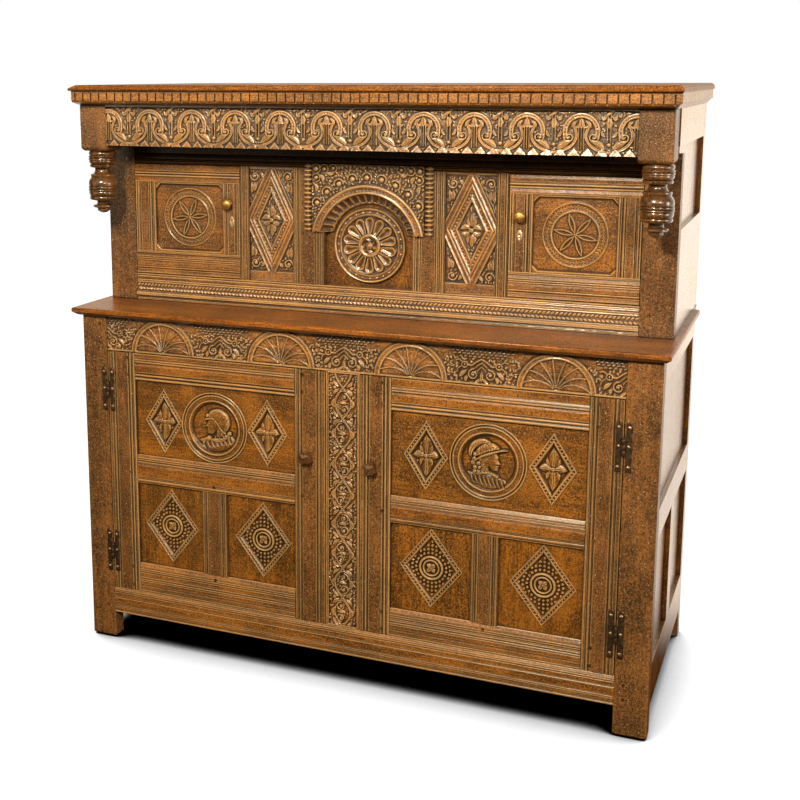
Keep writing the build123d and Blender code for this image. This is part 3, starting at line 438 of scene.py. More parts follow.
    def groove_ring(self, centre, radius, half, depth):
        near, x, z = self.around(centre, radius + half + 1)
        off = np.abs(np.hypot(x, z) - radius)
        self.h[near] -= depth * np.clip(1 - off / half, 0, 1)

    def pit(self, centre, radius, depth):
        near, x, z = self.around(centre, radius + 1)
        self.h[near] -= depth * np.clip(1 - (np.hypot(x, z) / radius) ** 2, 0, 1)

    def chip(self, centre, size, angle, depth):
        """A short dash struck with a gouge: size is (half length, half width)."""
        near, x, z = self.around(centre, max(size) + 1)
        turn = math.radians(angle)
        u = (x * math.cos(turn) + z * math.sin(turn)) / size[0]
        v = (z * math.cos(turn) - x * math.sin(turn)) / size[1]
        self.h[near] -= depth * np.clip(1 - u * u - v * v, 0, 1) ** 0.7

    def waver(self, rng, size=9.0, depth=0.18):
        """The slight unevenness of hand work."""
        rows, columns = self.h.shape
        span_x = abs(self.x[0, -1] - self.x[0, 0]) + abs(self.z[0, -1] - self.z[0, 0])
        coarse_rows = max(3, int(abs(self.z[-1, 0] - self.z[0, 0]) / size) + 2)
        coarse_columns = max(3, int(span_x / size) + 2)
        coarse = rng.normal(0, 1, (coarse_rows, coarse_columns))
        down = np.linspace(0, coarse_rows - 1, rows)
        across = np.linspace(0, coarse_columns - 1, columns)
        first = np.array([np.interp(across, np.arange(coarse_columns), row) for row in coarse])
        both = np.array([np.interp(down, np.arange(coarse_rows), column) for column in first.T]).T
        self.h += depth * both
        return self

    def eased(self, radius=1.6):
        """Round the arris of a rectangular board over."""
        low_x, high_x = self.x.min(), self.x.max()
        low_z, high_z = self.z.min(), self.z.max()
        gap = np.minimum(np.minimum(self.x - low_x, high_x - self.x),
                         np.minimum(self.z - low_z, high_z - self.z))
        t = np.clip(gap / radius, 0, 1)
        self.h -= radius * (1 - np.sqrt(1 - (1 - t) ** 2))
        return self

    def wear_and_painted_light(self):
        """How far each cell stands over its surroundings, -1 to 1, and how sharp an arris it is, 0 to 1:
        the masks for pale wear with painted highlight on high places and arrises, and for painted shade in
        hollows.
        """
        steps = (np.hypot(self.x[1, 0] - self.x[0, 0], self.z[1, 0] - self.z[0, 0]),
                 np.hypot(self.x[0, 1] - self.x[0, 0], self.z[0, 1] - self.z[0, 0]))
        broad = [int(round(RELIEF_REACH / max(step, 0.4))) for step in steps]
        fine = [int(round(ARRIS_REACH / max(step, 0.4))) for step in steps]
        return (np.clip((self.h - box_blur(self.h, broad)) / 1.3, -1, 1),
                np.clip((self.h - box_blur(self.h, fine)) / 0.55, 0, 1))


def box_blur(values, reaches):
    """The mean over a window of so many cells each way, rows first."""
    for axis, reach in enumerate(reaches):
        if reach == 0:
            continue
        pad = [(0, 0), (0, 0)]
        pad[axis] = (reach + 1, reach)
        total = np.cumsum(np.pad(values, pad, mode="edge"), axis=axis)
        size = 2 * reach + 1
        ahead = np.take(total, np.arange(size, total.shape[axis]), axis=axis)
        behind = np.take(total, np.arange(0, total.shape[axis] - size), axis=axis)
        values = (ahead - behind) / size
    return values


def band(first, second):
    """The quads between two rows of points."""
    return np.stack([first[1:], first[:-1], second[:-1], second[1:]], axis=-1).tolist()


class Solid:
    """Collects boards and loose meshes that make one piece of the scene."""

    def __init__(self):
        self.points, self.faces, self.relief, self.arris, self.plank = [], [], [], [], []
        self.count = 0

    def add(self, points, faces, relief=None, arris=None, plank=0.0):
        points = np.asarray(points, dtype=float)
        self.points.append(points)
        self.faces += [tuple(int(corner) + self.count for corner in face) for face in faces]
        self.relief.append(np.zeros(len(points)) if relief is None else relief)
        self.arris.append(np.zeros(len(points)) if arris is None else arris)
        self.plank.append(np.full(len(points), plank))
        self.count += len(points)

    def board(self, board, front, back, plank=0.0):
        """A closed solid whose face is the board's relief on the plane Y = front."""
        rows, columns = board.h.shape
        grid = np.arange(rows * columns).reshape(rows, columns)
        face = np.column_stack([board.x.ravel(), (front - board.h).ravel(), board.z.ravel()])
        over = np.column_stack([grid, grid[:, :1]]) if board.closed else grid
        quads = np.stack([over[:-1, :-1], over[:-1, 1:], over[1:, 1:], over[1:, :-1]], axis=-1)
        faces = quads.reshape(-1, 4).tolist()
        first, last = over[0], over[-1]
        first_back = rows * columns + np.arange(columns)
        last_back = first_back + columns
        if board.closed:
            source = np.concatenate([grid[0], grid[-1]])
            first_back, last_back = np.append(first_back, first_back[0]), np.append(last_back, last_back[0])
            faces += band(first, first_back) + band(last_back, last) + band(first_back, last_back)
        else:
            left, right = grid[1:-1, 0], grid[1:-1, -1]
            source = np.concatenate([first, last, left, right])
            left_back = rows * columns + 2 * columns + np.arange(rows - 2)
            right_back = left_back + rows - 2
            sides = ((first, left, last, 0), (first_back, left_back, last_back, 0),
                     (first, right, last, -1), (first_back, right_back, last_back, -1))
            left, left_back, right, right_back = (np.concatenate([[one[end]], side, [other[end]]])
                                                  for one, side, other, end in sides)
            faces += band(first, first_back) + band(last_back, last) + band(left_back, left)
            faces += band(right, right_back) + band(first_back[1:-1], last_back[1:-1])
            faces.append([first_back[1], *left_back, last_back[1]])
            faces.append([last_back[-2], *right_back[::-1], first_back[-2]])
        rear = face[source].copy()
        rear[:, 1] = back
        relief, arris = (np.concatenate([share.ravel(), np.zeros(len(rear))]) for share in board.wear_and_painted_light())
        self.add(np.vstack([face, rear]), faces, relief, arris, plank)

    def lathe(self, profile, centre, axis="z", count=64, plank=0.0):
        """A turned solid: profile is (radius, height) pairs, its ends on the axis."""
        profile = np.asarray(profile, dtype=float)
        inner = profile[1:-1]
        turns = np.linspace(0, 2 * np.pi, count, endpoint=False)
        ring = [np.column_stack([r * np.cos(turns), r * np.sin(turns), np.full(count, h)])
                for r, h in inner]
        points = np.vstack([[[0, 0, profile[0][1]]], *ring, [[0, 0, profile[-1][1]]]])
        faces = []
        for index in range(count):
            after = (index + 1) % count
            faces.append((0, 1 + after, 1 + index))
            for row in range(len(inner) - 1):
                a = 1 + row * count
                faces.append((a + index, a + after, a + count + after, a + count + index))
            a = 1 + (len(inner) - 1) * count
            faces.append((a + index, a + after, len(points) - 1))
        if axis == "y":
            points = points[:, [0, 2, 1]] * (1, -1, 1)
        points = points + np.asarray(centre)
        self.add(points, faces, plank=plank)

    def box(self, x, y, z, plank=0.0):
        corners = [(a, b, c) for c in z for b in y for a in x]
        faces = [(0, 2, 3, 1), (4, 5, 7, 6), (0, 1, 5, 4), (2, 6, 7, 3), (0, 4, 6, 2), (1, 3, 7, 5)]
        self.add(corners, faces, plank=plank)

    def make(self, name, material, slot, body="cupboard", nodes=(), angle=38.0):
        """The finished object, riding on a body and standing for its CAD nodes."""
        mesh = bpy.data.meshes.new(name)
        points = np.vstack(self.points) * MM
        mesh.from_pydata(points.tolist(), [], self.faces)
        for label, values in (("relief", self.relief), ("arris", self.arris), ("plank", self.plank)):
            layer = mesh.attributes.new(label, "FLOAT", "POINT")
            layer.data.foreach_set("value", np.concatenate(values).astype(np.float32))
        work = bmesh.new()
        work.from_mesh(mesh)
        bmesh.ops.recalc_face_normals(work, faces=work.faces)
        work.to_mesh(mesh)
        work.free()
        mesh.materials.append(MATERIALS[material])
        mesh.polygons.foreach_set("use_smooth", [True] * len(mesh.polygons))
        mesh.set_sharp_from_angle(angle=math.radians(angle))
        made = bpy.data.objects.new(name, mesh)
        bpy.context.scene.collection.objects.link(made)
        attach(made, body)
        if nodes:
            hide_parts(*nodes)


def carve(board, front, back, plank, name, material, slot, body="cupboard", nodes=(), angle=38.0):
    """A piece that is one board."""
    solid = Solid()
    solid.board(board, front, back, plank)
    solid.make(name, material, slot, body, nodes, angle)


def cut_from(rng):
    """Where in the log a board comes from, as an offset of its grain."""
    return float(rng.uniform(0, 7))


def soften(piece, width):
    """Ease the sharp edges of a squared piece."""
    edge = piece.modifiers.new("eased", "BEVEL")
    edge.width = width * MM
    edge.segments = 2
    edge.limit_method = "ANGLE"
    edge.angle_limit = math.radians(40)
    edge.harden_normals = True


# ------------------------------------------------------------------ scratched mouldings
def moulding(u, width, features):
    """Heights across a moulded member, u from 0 to width: what the scratch-stock cut.

    A place is in millimetres from the low edge, or from the high edge where it is negative. A groove
    has a half width and a depth, a bead a half width, and an up_facet a run and the depth it falls to."""
    h = np.zeros_like(u)
    for kind, at, *size in features:
        place = at + width if at < 0 else at
        off = np.abs(u - place)
        if kind == "groove":
            half, depth = size
            cut = depth * np.clip(1 - off / half, 0, 1)
        elif kind == "bead":
            (half,) = size
            rounded = half * 0.8 * (1 - np.sqrt(np.clip(1 - (off / half) ** 2, 0, 1)))
            quirk = half * 0.8 * np.clip(1 - (off - half) / 1.6, 0, 1)
            cut = np.where(off <= half, rounded, quirk)
        else:
            run, depth = size
            cut = depth * np.clip((u - place) / run, 0, 1) * np.clip(1 - (u - place - run) / 1.2, 0, 1)
        h = np.minimum(h, -cut)
    return h


ACROSS_STEP = 0.8
ALONG_STEP = 7.0


def member(solid, x, z, front, back, rng, features, grain):
    """A rail (grain x) or stile (grain z) with mouldings scratched along it."""
    across, along = (z, x) if grain == "x" else (x, z)
    fine_count = max(6, round(length(across) / ACROSS_STEP) + 1)
    coarse_count = max(4, round(length(along) / ALONG_STEP) + 1)
    u = np.linspace(*across, fine_count)
    v = np.linspace(*along, coarse_count)
    if grain == "x":
        grid_x, grid_z = np.meshgrid(v, u)
        cross = grid_z - z[0]
    else:
        grid_x, grid_z = np.meshgrid(u, v)
        cross = grid_x - x[0]
    board = Board.mapped(grid_x, grid_z)
    edge = np.clip(np.minimum(cross, length(across) - cross) / 1.6, 0, 1)
    board.h = moulding(cross, length(across), features) - 1.6 * (1 - np.sqrt(1 - (1 - edge) ** 2))
    board.waver(rng, size=38.0, depth=0.16)
    solid.board(board, front, back, cut_from(rng))


# ------------------------------------------------------------------ carved motifs
def ridge(value, place, half):
    """A ridge with two plain slopes: 1 at the place, 0 from half away."""
    return np.clip(1 - np.abs(value - place) / half, 0, 1)


def leafage(board, across, up, rng, inside=None, lean=None, pitch=7.0, size=4.6, half=2.7, top=-0.8):
    """Small leaves struck wherever the ground is still bare; lean gives their run at a place."""
    for level in np.arange(up[0] + pitch / 2, up[1], pitch):
        for place in np.arange(across[0] + pitch / 2, across[1], pitch):
            x, z = place + rng.uniform(-0.3, 0.3) * pitch, level + rng.uniform(-0.3, 0.3) * pitch
            if inside is not None and not inside(x, z):
                continue
            near, _, _ = board.around((x, z), 2.6)
            if board.h[near].size == 0 or board.h[near].max() > board.ground + 1.2:
                continue
            turn = rng.uniform(0, np.pi) if lean is None else lean(x, z) + rng.normal(0, 0.4)
            reach = size * rng.uniform(0.8, 1.3)
            run, rise = reach * math.cos(turn), reach * math.sin(turn)
            bend = rng.uniform(-0.35, 0.35)
            board.leaf(curve((x - run, z - rise), (x - bend * rise, z + bend * run), (x + run, z + rise)),
                       half * rng.uniform(0.8, 1.2), top=top + rng.uniform(-0.6, 0.5), crease=0.9)


def lozenge_reach(x, z, half_wide, half_high):
    """Distance from a lozenge's edge in millimetres, positive inside."""
    scale = half_wide * half_high / math.hypot(half_wide, half_high)
    return (1 - np.abs(x) / half_wide - np.abs(z) / half_high) * scale


def lozenge_sink(board, centre, half, inset, depth, slope):
    """Sink a lozenge's field, inset from its edge."""
    near, x, z = board.around(centre, max(half) + 4)
    share = smooth((lozenge_reach(x, z, *half) - inset) / slope)
    board.h[near] = np.where(share > 0, np.minimum(board.h[near], depth * share), board.h[near])


def along_lozenge(centre, half, inset, pitch):
    """Places and directions round a lozenge, inset from its edge."""
    scale = half[0] * half[1] / math.hypot(*half)
    shrink = 1 - inset / scale
    corners = [(half[0] * shrink, 0), (0, half[1] * shrink), (-half[0] * shrink, 0), (0, -half[1] * shrink)]
    for (ax, az), (bx, bz) in zip(corners, corners[1:] + corners[:1]):
        run = math.hypot(bx - ax, bz - az)
        count = max(2, int(run / pitch))
        angle = math.degrees(math.atan2(bz - az, bx - ax))
        for index in range(count):
            t = (index + 0.5) / count
            yield (centre[0] + ax + (bx - ax) * t, centre[1] + az + (bz - az) * t), angle


def flowered_lozenge(board, centre, half, rng):
    """A roped rim round a sunk field that holds a four-petalled flower."""
    near, dx, dz = board.around(centre, max(half) + 6)
    reach = lozenge_reach(dx, dz, *half)
    board.h[near] += 1.9 * ridge(reach, 1.0, 3.6) + 2.1 * ridge(reach, 9.6, 3.4)
    board.h[near] -= 2.0 * ridge(reach, 5.3, 3.4)
    for place, angle in along_lozenge(centre, half, 5.3, 8.6):
        board.chip(place, (3.2, 2.1), angle, -3.0)
    lozenge_sink(board, centre, half, 11.6, -5.6, slope=5.0)
    board.ground = -5.6
    x, z = centre
    tall, wide = half[1] * 0.62, half[0] * 0.62
    for side in (-1, 1):
        board.leaf(curve((x, z + side * 3), (x + 2, z + side * tall * 0.5), (x, z + side * tall)), 12.5,
                   top=0.2, crease=2.2)
        board.leaf(curve((x + side * 3, z), (x + side * wide * 0.5, z + 2), (x + side * wide, z)), 10.5,
                   top=0.2, crease=2.2)
        for up in (-1, 1):
            board.leaf(curve((x + side * 3, z + up * 3), (x + side * 12, z + up * 14),
                             (x + side * 15, z + up * 27)), 5.4, top=-1.6, crease=1.2)
    leafage(board, (x - half[0], x + half[0]), (z - half[1], z + half[1]), rng,
            inside=lambda px, pz: lozenge_reach(np.array(px - x), np.array(pz - z), *half) > 17,
            lean=lambda px, pz: math.atan2(pz - z, px - x), pitch=7.5, size=4.0, half=2.2, top=-3.0)
    board.boss(centre, 6.4, top=1.4)
    board.pit(centre, 2.2, 2.2)


def wheel_lozenge(board, centre, half):
    """A chip-cut border round a field of small petals, with a ringed cross at the centre."""
    near, dx, dz = board.around(centre, max(half) + 6)
    reach = lozenge_reach(dx, dz, *half)
    board.h[near] += 1.7 * ridge(reach, 0.8, 2.8) + 1.7 * ridge(reach, 9.4, 2.8)
    board.h[near] -= 1.8 * ridge(reach, 5.1, 3.2)
    for place, angle in along_lozenge(centre, half, 5.1, 8.6):
        board.chip(place, (3.0, 2.0), angle + 35, -2.8)
    lozenge_sink(board, centre, half, 11.6, -3.4, slope=4.0)
    board.ground = -3.4
    x, z = centre
    for out in (38.0, 48.0, 58.0, 68.0, 78.0):
        count = round(2 * math.pi * out / 10.5)
        for index in range(count):
            angle = 2 * math.pi * (index + 0.5 * (out % 20 > 9)) / count
            across, rise = math.cos(angle), math.sin(angle)
            inset = lozenge_reach(np.array(out * across), np.array(out * rise), *half)
            if inset > 14.5:
                path = [(x + (out + step) * across, z + (out + step) * rise) for step in (-3.6, 0.4, 4.4)]
                board.leaf(path, 3.6, top=0.7, crease=1.2)
    board.bead(centre, 28.0, 3.6, top=1.9)
    board.bead(centre, 19.5, 2.8, top=1.2)
    board.groove_ring(centre, 23.8, 2.0, 1.2)
    for turn in range(4):
        angle = math.radians(45 + 90 * turn)
        tip = (x + 15 * math.cos(angle), z + 15 * math.sin(angle))
        board.leaf(curve(centre, ((x + tip[0]) / 2, (z + tip[1]) / 2), tip), 6.4, top=1.0, crease=1.8)
    board.boss(centre, 3.4, top=1.6)


def medallion(board, centre, figure):
    """Two turned rings round a dished field, with a head in low relief."""
    x, z = centre
    board.bead(centre, 92.6, 3.0, top=2.0)
    board.groove_ring(centre, 88.8, 1.8, 1.6)
    board.bead(centre, 85.4, 3.0, top=1.8)
    for turn in range(56):
        angle = 2 * math.pi * turn / 56
        board.chip((x + 78.5 * math.cos(angle), z + 78.5 * math.sin(angle)), (2.8, 0.9),
                   math.degrees(angle) + 20, 1.0)
    near, dx, dz = board.around(centre, 73)
    reach = np.hypot(dx, dz)
    dish = -6.4 * smooth((71.0 - reach) / 9.0)
    board.h[near] = np.where(reach < 71, np.minimum(board.h[near], dish), board.h[near])
    board.ground = -6.4
    board.bead(centre, 72.0, 3.2, top=2.2)
    figure(board, centre)


def ellipsoid(board, centre, radii, top, power):
    """A rounded mass, raised over what is there."""
    near, x, z = board.around(centre, max(radii) + 2)
    share = np.clip(1 - (x / radii[0]) ** 2 - (z / radii[1]) ** 2, 0, 1) ** power
    board.lift(near, share, top)


def inside_outline(board, path, reach, top, round_over):
    """A raised shape with a closed outline, rounded over towards its edge."""
    near, off, _ = board.follow(np.vstack([path, path[:1]]), reach)
    x, z = board.x[near], board.z[near]
    inside = np.zeros(x.shape, dtype=bool)
    ax, az = path[:, 0], path[:, 1]
    bx, bz = np.roll(ax, -1), np.roll(az, -1)
    for sx, sz, ex, ez in zip(ax, az, bx, bz):
        if abs(ez - sz) < 1e-9:
            continue
        crosses = ((sz > z) != (ez > z)) & (x < (ex - sx) * (z - sz) / (ez - sz) + sx)
        inside ^= crosses
    share = np.where(inside, np.sqrt(np.clip(1 - (1 - np.clip(off / round_over, 0, 1)) ** 2, 0, 1)), 0)
    board.lift(near, share, top)


# a plain profile on the drawing-book canon, in face heights forward and thirds of a face up
PROFILE = [(-0.55, 1.35), (0.10, 1.62), (0.36, 1.05), (0.40, 0.50), (0.385, 0.32), (0.50, -0.28),
           (0.475, -0.42), (0.40, -0.50), (0.425, -0.68), (0.40, -0.80), (0.42, -0.92), (0.385, -1.06),
           (0.40, -1.28), (0.32, -1.50), (0.10, -1.42), (-0.10, -0.95), (-0.12, -1.9), (-0.60, -1.9)]
BROW = [(0.38, 0.46), (0.28, 0.52), (0.17, 0.40)]
FACE_CUTS = {
    "upper lid": ([(0.35, 0.13), (0.27, 0.30), (0.19, 0.10)], 1.0, 0.9),
    "lower lid": ([(0.34, 0.10), (0.27, 0.02), (0.20, 0.09)], 0.9, 0.6),
    "nostril": ([(0.375, -0.34), (0.39, -0.22), (0.42, -0.20)], 0.9, 0.8),
    "lips": ([(0.41, -0.80), (0.35, -0.81), (0.29, -0.76)], 1.0, 1.1),
    "cheek": ([(0.36, -0.40), (0.30, -0.52), (0.27, -0.66)], 1.2, 0.4),
}


def face_profile(board, centre, size, facing, top):
    """A head in plain profile: brow, nose, and mouth with chin take a third of the face each."""
    third = size / 3

    def through(places, count=28):
        path = [(centre[0] + facing * forward * size, centre[1] + up * third) for forward, up in places]
        return curve(*path, count=count)

    inside_outline(board, through(PROFILE, 150), size, top, 0.20 * size)
    board.cut(through(BROW), 1.3, 0.7, taper=True)
    eye = (centre[0] + facing * 0.275 * size, centre[1] + 0.16 * third)
    ellipsoid(board, eye, (0.065 * size, 0.045 * size), top + 0.5, 0.6)
    for places, half, depth in FACE_CUTS.values():
        board.cut(through(places), half, depth, taper=True)


def curls(board, places, radius, top):
    """Curls of hair, each a dome with a scroll cut in it; places give a centre and a start angle."""
    for place, start in places:
        board.boss(place, radius, top=top, flat=0.1)
        board.cut(scroll(place, radius * 0.82, start, 1.3, inner=0.1), 0.9, 1.1)


def notched(board, path, count, size, angle, depth, twist=0.0):
    """Dashes struck at even steps along a path."""
    for index in range(count):
        board.chip(path[int((index + 0.5) / count * (len(path) - 1))], size, angle + twist * index, depth)


def capped_head(board, centre):
    """A head in profile to the left, in a close cap, over a cloak gathered on the shoulder."""
    x, z = centre[0] + 2, centre[1] + 8
    size = 52.0
    # cloak and shoulder, in folds that sweep down from the gathered knot
    shoulder = curve((x - 46, z - 44), (x - 34, z - 38), (x - 6, z - 36), (x + 22, z - 24),
                     (x + 48, z - 28), (x + 56, z - 46), (x + 30, z - 64), (x - 6, z - 72), (x - 34, z - 62),
                     count=70)
    inside_outline(board, shoulder, 60, -1.4, 9.0)
    for step in range(7):
        start = (x - 36 + 12 * step, z - 40 + 3 * step)
        board.strap(curve(start, (start[0] + 2, start[1] - 12), (start[0] + 8, start[1] - 26)), 2.6,
                    top=0.6, edge=2.2)
        board.gouge(curve((start[0] + 6, start[1] - 2), (start[0] + 8, start[1] - 14),
                          (start[0] + 13, start[1] - 26)), 2.4, 2.0)
    face_profile(board, (x - 2, z), size, -1, 0.8)
    # the close cap in ribs, with its rolled brim
    cap = curve((x - 24, z + 14), (x - 14, z + 36), (x + 12, z + 43), (x + 36, z + 30),
                (x + 42, z + 4), (x + 30, z - 16), (x + 12, z - 6), (x + 4, z + 8), count=70)
    inside_outline(board, cap, 60, 2.0, 10.0)
    for rib in range(6):
        lean = -12 + 10 * rib
        board.cut(curve((x - 14 + 7.5 * rib, z + 15 - 4 * rib), (x + lean + 2, z + 28 - 1.5 * rib),
                        (x + lean + 14, z + 36 - 3 * rib)), 1.5, 1.5, taper=True)
    brim = curve((x - 27, z + 13), (x - 8, z + 17), (x + 6, z + 7), (x + 16, z - 8), (x + 29, z - 19))
    board.strap(brim, 4.0, top=3.0, edge=2.8)
    notched(board, brim, 13, (3.6, 1.0), 60, 1.2)
    # hair at the nape, a lock over the brow and the gathered knot of the cloak
    curls(board, [((x + 20, z - 22), 40), ((x + 10, z - 16), 160), ((x + 31, z - 28), 250),
                  ((x + 40, z - 20), 20), ((x - 22, z + 22), 120)], 6.4, 1.2)
    board.leaf(curve((x - 16, z - 38), (x + 12, z - 40), (x + 42, z - 28)), 6.6, top=1.6, crease=1.8)
    board.leaf(curve((x - 20, z - 34), (x - 32, z - 46), (x - 36, z - 58)), 5.4, top=0.8, crease=1.4)
    board.boss((x - 18, z - 38), 7.5, top=2.0)
    board.cut(scroll((x - 18, z - 38), 6, 30, 1.3, inner=0.1), 1.1, 1.4)


def curled_head(board, centre):
    """A head in profile to the right, with full curled hair under a tilted, plumed hat."""
    x, z = centre[0] + 2, centre[1] + 2
    size = 46.0
    shoulder = curve((x - 54, z - 30), (x - 34, z - 30), (x - 8, z - 30), (x + 20, z - 36),
                     (x + 42, z - 46), (x + 34, z - 62), (x, z - 72), (x - 38, z - 58), count=60)
    inside_outline(board, shoulder, 60, -1.2, 9.0)
    for step in range(8):
        start = (x - 44 + 10.5 * step, z - 32 - 1.2 * step)
        board.strap(curve(start, (start[0] + 3, start[1] - 12), (start[0] + 9, start[1] - 24)), 2.4,
                    top=0.8, edge=2.0)
        board.gouge(curve((start[0] + 5, start[1] - 3), (start[0] + 8, start[1] - 14),
                          (start[0] + 13, start[1] - 24)), 2.2, 1.9)
    face_profile(board, (x + 4, z), size, 1, 1.0)
    places = []
    for row, (start, end) in enumerate(((-34, -6), (-38, -8), (-38, -12), (-36, -14), (-33, -15))):
        for index in range(3):
            across = x + start + (end - start) * index / 2 + 3 * (row % 2)
            places.append(((across, z + 14 - 10.5 * row), 97.0 * row + 130.0 * index))
    curls(board, places, 7.0, 1.4)

    def tilted(across, up):
        """A place on the hat, which tilts back."""
        return (x + 0.93 * across - 0.36 * up, z + 17 + 0.36 * across + 0.93 * up)

    # a low ribbed crown, a twisted band, a brim and a plume that curls over
    crown = curve(tilted(-32, 2), tilted(-26, 20), tilted(-4, 30), tilted(20, 22), tilted(28, 4),
                  tilted(-2, 1), count=60)
    inside_outline(board, crown, 60, 2.0, 8.0)
    for rib in range(7):
        foot = -26 + 8.5 * rib
        board.cut(curve(tilted(foot, 8), tilted(foot * 0.9, 18), tilted(foot * 0.6, 27)), 1.4, 1.4,
                  taper=True)
    brim = curve(tilted(-46, -8), tilted(-22, 0), tilted(4, 2), tilted(30, 1), tilted(46, -4))
    board.strap(brim, 5.2, top=3.2, edge=3.0, taper=lambda t: 0.45 + 0.55 * np.sin(np.pi * t))
    ribbon = curve(tilted(-32, 7), tilted(-4, 10), tilted(27, 8))
    board.strap(ribbon, 3.0, top=3.0, edge=1.8)
    notched(board, ribbon, 12, (3.0, 1.0), 70, 1.4)
    plume = curve(tilted(18, 12), tilted(2, 33), tilted(-26, 32), tilted(-43, 14), tilted(-40, -2))
    board.leaf(plume, 8.4, top=2.6, crease=1.6, fullest=0.5)
    notched(board, plume, 14, (6.0, 0.9), 25, 1.3, twist=9)
    collar = curve((x - 26, z - 33), (x - 2, z - 28), (x + 20, z - 36))
    board.strap(collar, 5.0, top=2.4, edge=2.8)
    notched(board, collar, 9, (4.6, 1.1), 78, 1.5)


# ------------------------------------------------------------------ lower doors
BASE_FACE = spans("base_centre_muntin")[1][0]      # the plane of the base's framing
DOOR_BACK = spans("left_door_frame")[1][1]
PANEL_SET_BACK = 9.0
PANEL_FACE = BASE_FACE + PANEL_SET_BACK
PANEL_BACK = spans("left_door_panels")[1][1]
TONGUE = 6.0

LOWER_DOORS = {
    "left": {"opening": (-595.0, -138.0), "muntin": (-404.0, -331.0),
             "levels": (740.0, 537.0, 459.0, 232.0), "medallion": (-368.0, 631.0), "figure": capped_head,
             "flowers": [(-515.0, 633.0), (-217.0, 634.0)], "wheels": [(-498.0, 346.0), (-231.0, 347.0)]},
    "right": {"opening": (118.0, 591.0), "muntin": (322.0, 390.0),
              "levels": (731.0, 517.0, 448.0, 224.0), "medallion": (357.0, 627.0), "figure": curled_head,
              "flowers": [(204.0, 625.0), (511.0, 628.0)], "wheels": [(221.0, 341.0), (496.0, 341.0)]},
}
WARP = (60.0, 0.25)                 # how far apart a panel's swells are, and how high
TOOL_MARKS = (7.0, 0.10)
FLOWER_HALF = (55.0, 86.0)
WHEEL_HALF = (79.0, 101.0)

# what the scratch-stock cut across each member, as moulding reads it
STILE_LINES = [("bead", 4.0, 3.0), ("groove", 10.0, 1.8, 2.4), ("bead", 14.5, 3.0),
               ("groove", 20.0, 1.8, 2.8), ("groove", -22.0, 1.8, 2.6), ("bead", -17.0, 2.8),
               ("groove", -11.5, 1.8, 2.6)]
MUNTIN_LINES = [("bead", 5.0, 3.4), ("groove", 12.5, 2.0, 3.0), ("bead", 17.0, 2.2),
                ("bead", -5.0, 3.4), ("groove", -12.5, 2.0, 3.0), ("bead", -17.0, 2.2)]
TOP_RAIL_LINES = [("bead", 4.0, 3.6), ("groove", 9.5, 2.2, 3.4), ("bead", 14.0, 3.2),
                  ("groove", 19.0, 1.8, 2.4), ("up_facet", 40.0, 5.5, 1.9), ("bead", 49.5, 2.8),
                  ("up_facet", 56.0, 4.0, 1.6)]
MID_RAIL_LINES = [("bead", 7.0, 4.4), ("groove", 14.5, 1.8, 2.8), ("up_facet", -31.0, 5.5, 1.9),
                  ("bead", -21.0, 2.4), ("bead", -14.5, 2.4), ("up_facet", -9.0, 9.5, 4.6)]
FOOT_RAIL_LINES = [("groove", 5.0, 1.6, 2.0), ("up_facet", 13.0, 5.0, 1.8), ("bead", 33.0, 2.4),
                   ("bead", 39.5, 2.4), ("groove", -26.0, 1.6, 2.4), ("bead", -18.0, 2.6),
                   ("up_facet", -10.0, 10.5, 5.2)]


def mirrored_lines(features):
    """The same scratched lines counted from the other edge."""
    return [(kind, -at, *size) for kind, at, *size in features]


def lower_door_frame(name, door, rng):
    across, _, up = spans(f"{name}_door_frame")
    top, wide_foot, small_top, foot = door["levels"]
    left, right = door["opening"]
    stiles = Solid()
    member(stiles, (across[0], left), up, BASE_FACE, DOOR_BACK, rng, mirrored_lines(STILE_LINES), "z")
    member(stiles, (right, across[1]), up, BASE_FACE, DOOR_BACK, rng, STILE_LINES, "z")
    member(stiles, door["muntin"], (foot, small_top), BASE_FACE, DOOR_BACK, rng, MUNTIN_LINES, "z")
    stiles.make(f"{name}_door_stiles", "stile", "oak_frame", f"{name}_door", [f"{name}_door_frame"])
    rails = Solid()
    for up_span, lines in (((top, up[1]), TOP_RAIL_LINES), ((small_top, wide_foot), MID_RAIL_LINES),
                           ((up[0], foot), FOOT_RAIL_LINES)):
        member(rails, (left, right), up_span, BASE_FACE, DOOR_BACK, rng, lines, "x")
    rails.make(f"{name}_door_rails", "rail", "oak_frame", f"{name}_door")


def tongued(low, high):
    """A panel's span with the tongues that sit in the frame's grooves."""
    return low - TONGUE, high + TONGUE


def lower_door_panels(name, door, rng):
    top, wide_foot, small_top, foot = door["levels"]
    left, right = door["opening"]
    body = f"{name}_door"
    wide = Board(tongued(left, right), tongued(wide_foot, top), 1.05)
    wide.waver(rng, *WARP)
    for centre in door["flowers"]:
        wide.ground = -4.4
        flowered_lozenge(wide, centre, FLOWER_HALF, rng)
    medallion(wide, door["medallion"], door["figure"])
    wide.waver(rng, *TOOL_MARKS)
    carve(wide, PANEL_FACE, PANEL_BACK, cut_from(rng), f"{body}_portrait_panel", "panel", "oak_panel",
          body, [f"{body}_panels"])
    bays = ((left, door["muntin"][0]), (door["muntin"][1], right))
    for place, across, centre in zip(("outer", "inner"), bays, door["wheels"]):
        small = Board(tongued(*across), tongued(foot, small_top), 0.95)
        small.waver(rng, *WARP)
        wheel_lozenge(small, centre, WHEEL_HALF)
        small.waver(rng, *TOOL_MARKS)
        carve(small, PANEL_FACE, PANEL_BACK, cut_from(rng), f"{body}_{place}_panel", "upright_panel",
              "oak_panel", body)


for index, (name, door) in enumerate(LOWER_DOORS.items()):
    lower_door_frame(name, door, np.random.default_rng(10 + index))
    lower_door_panels(name, door, np.random.default_rng(20 + index))


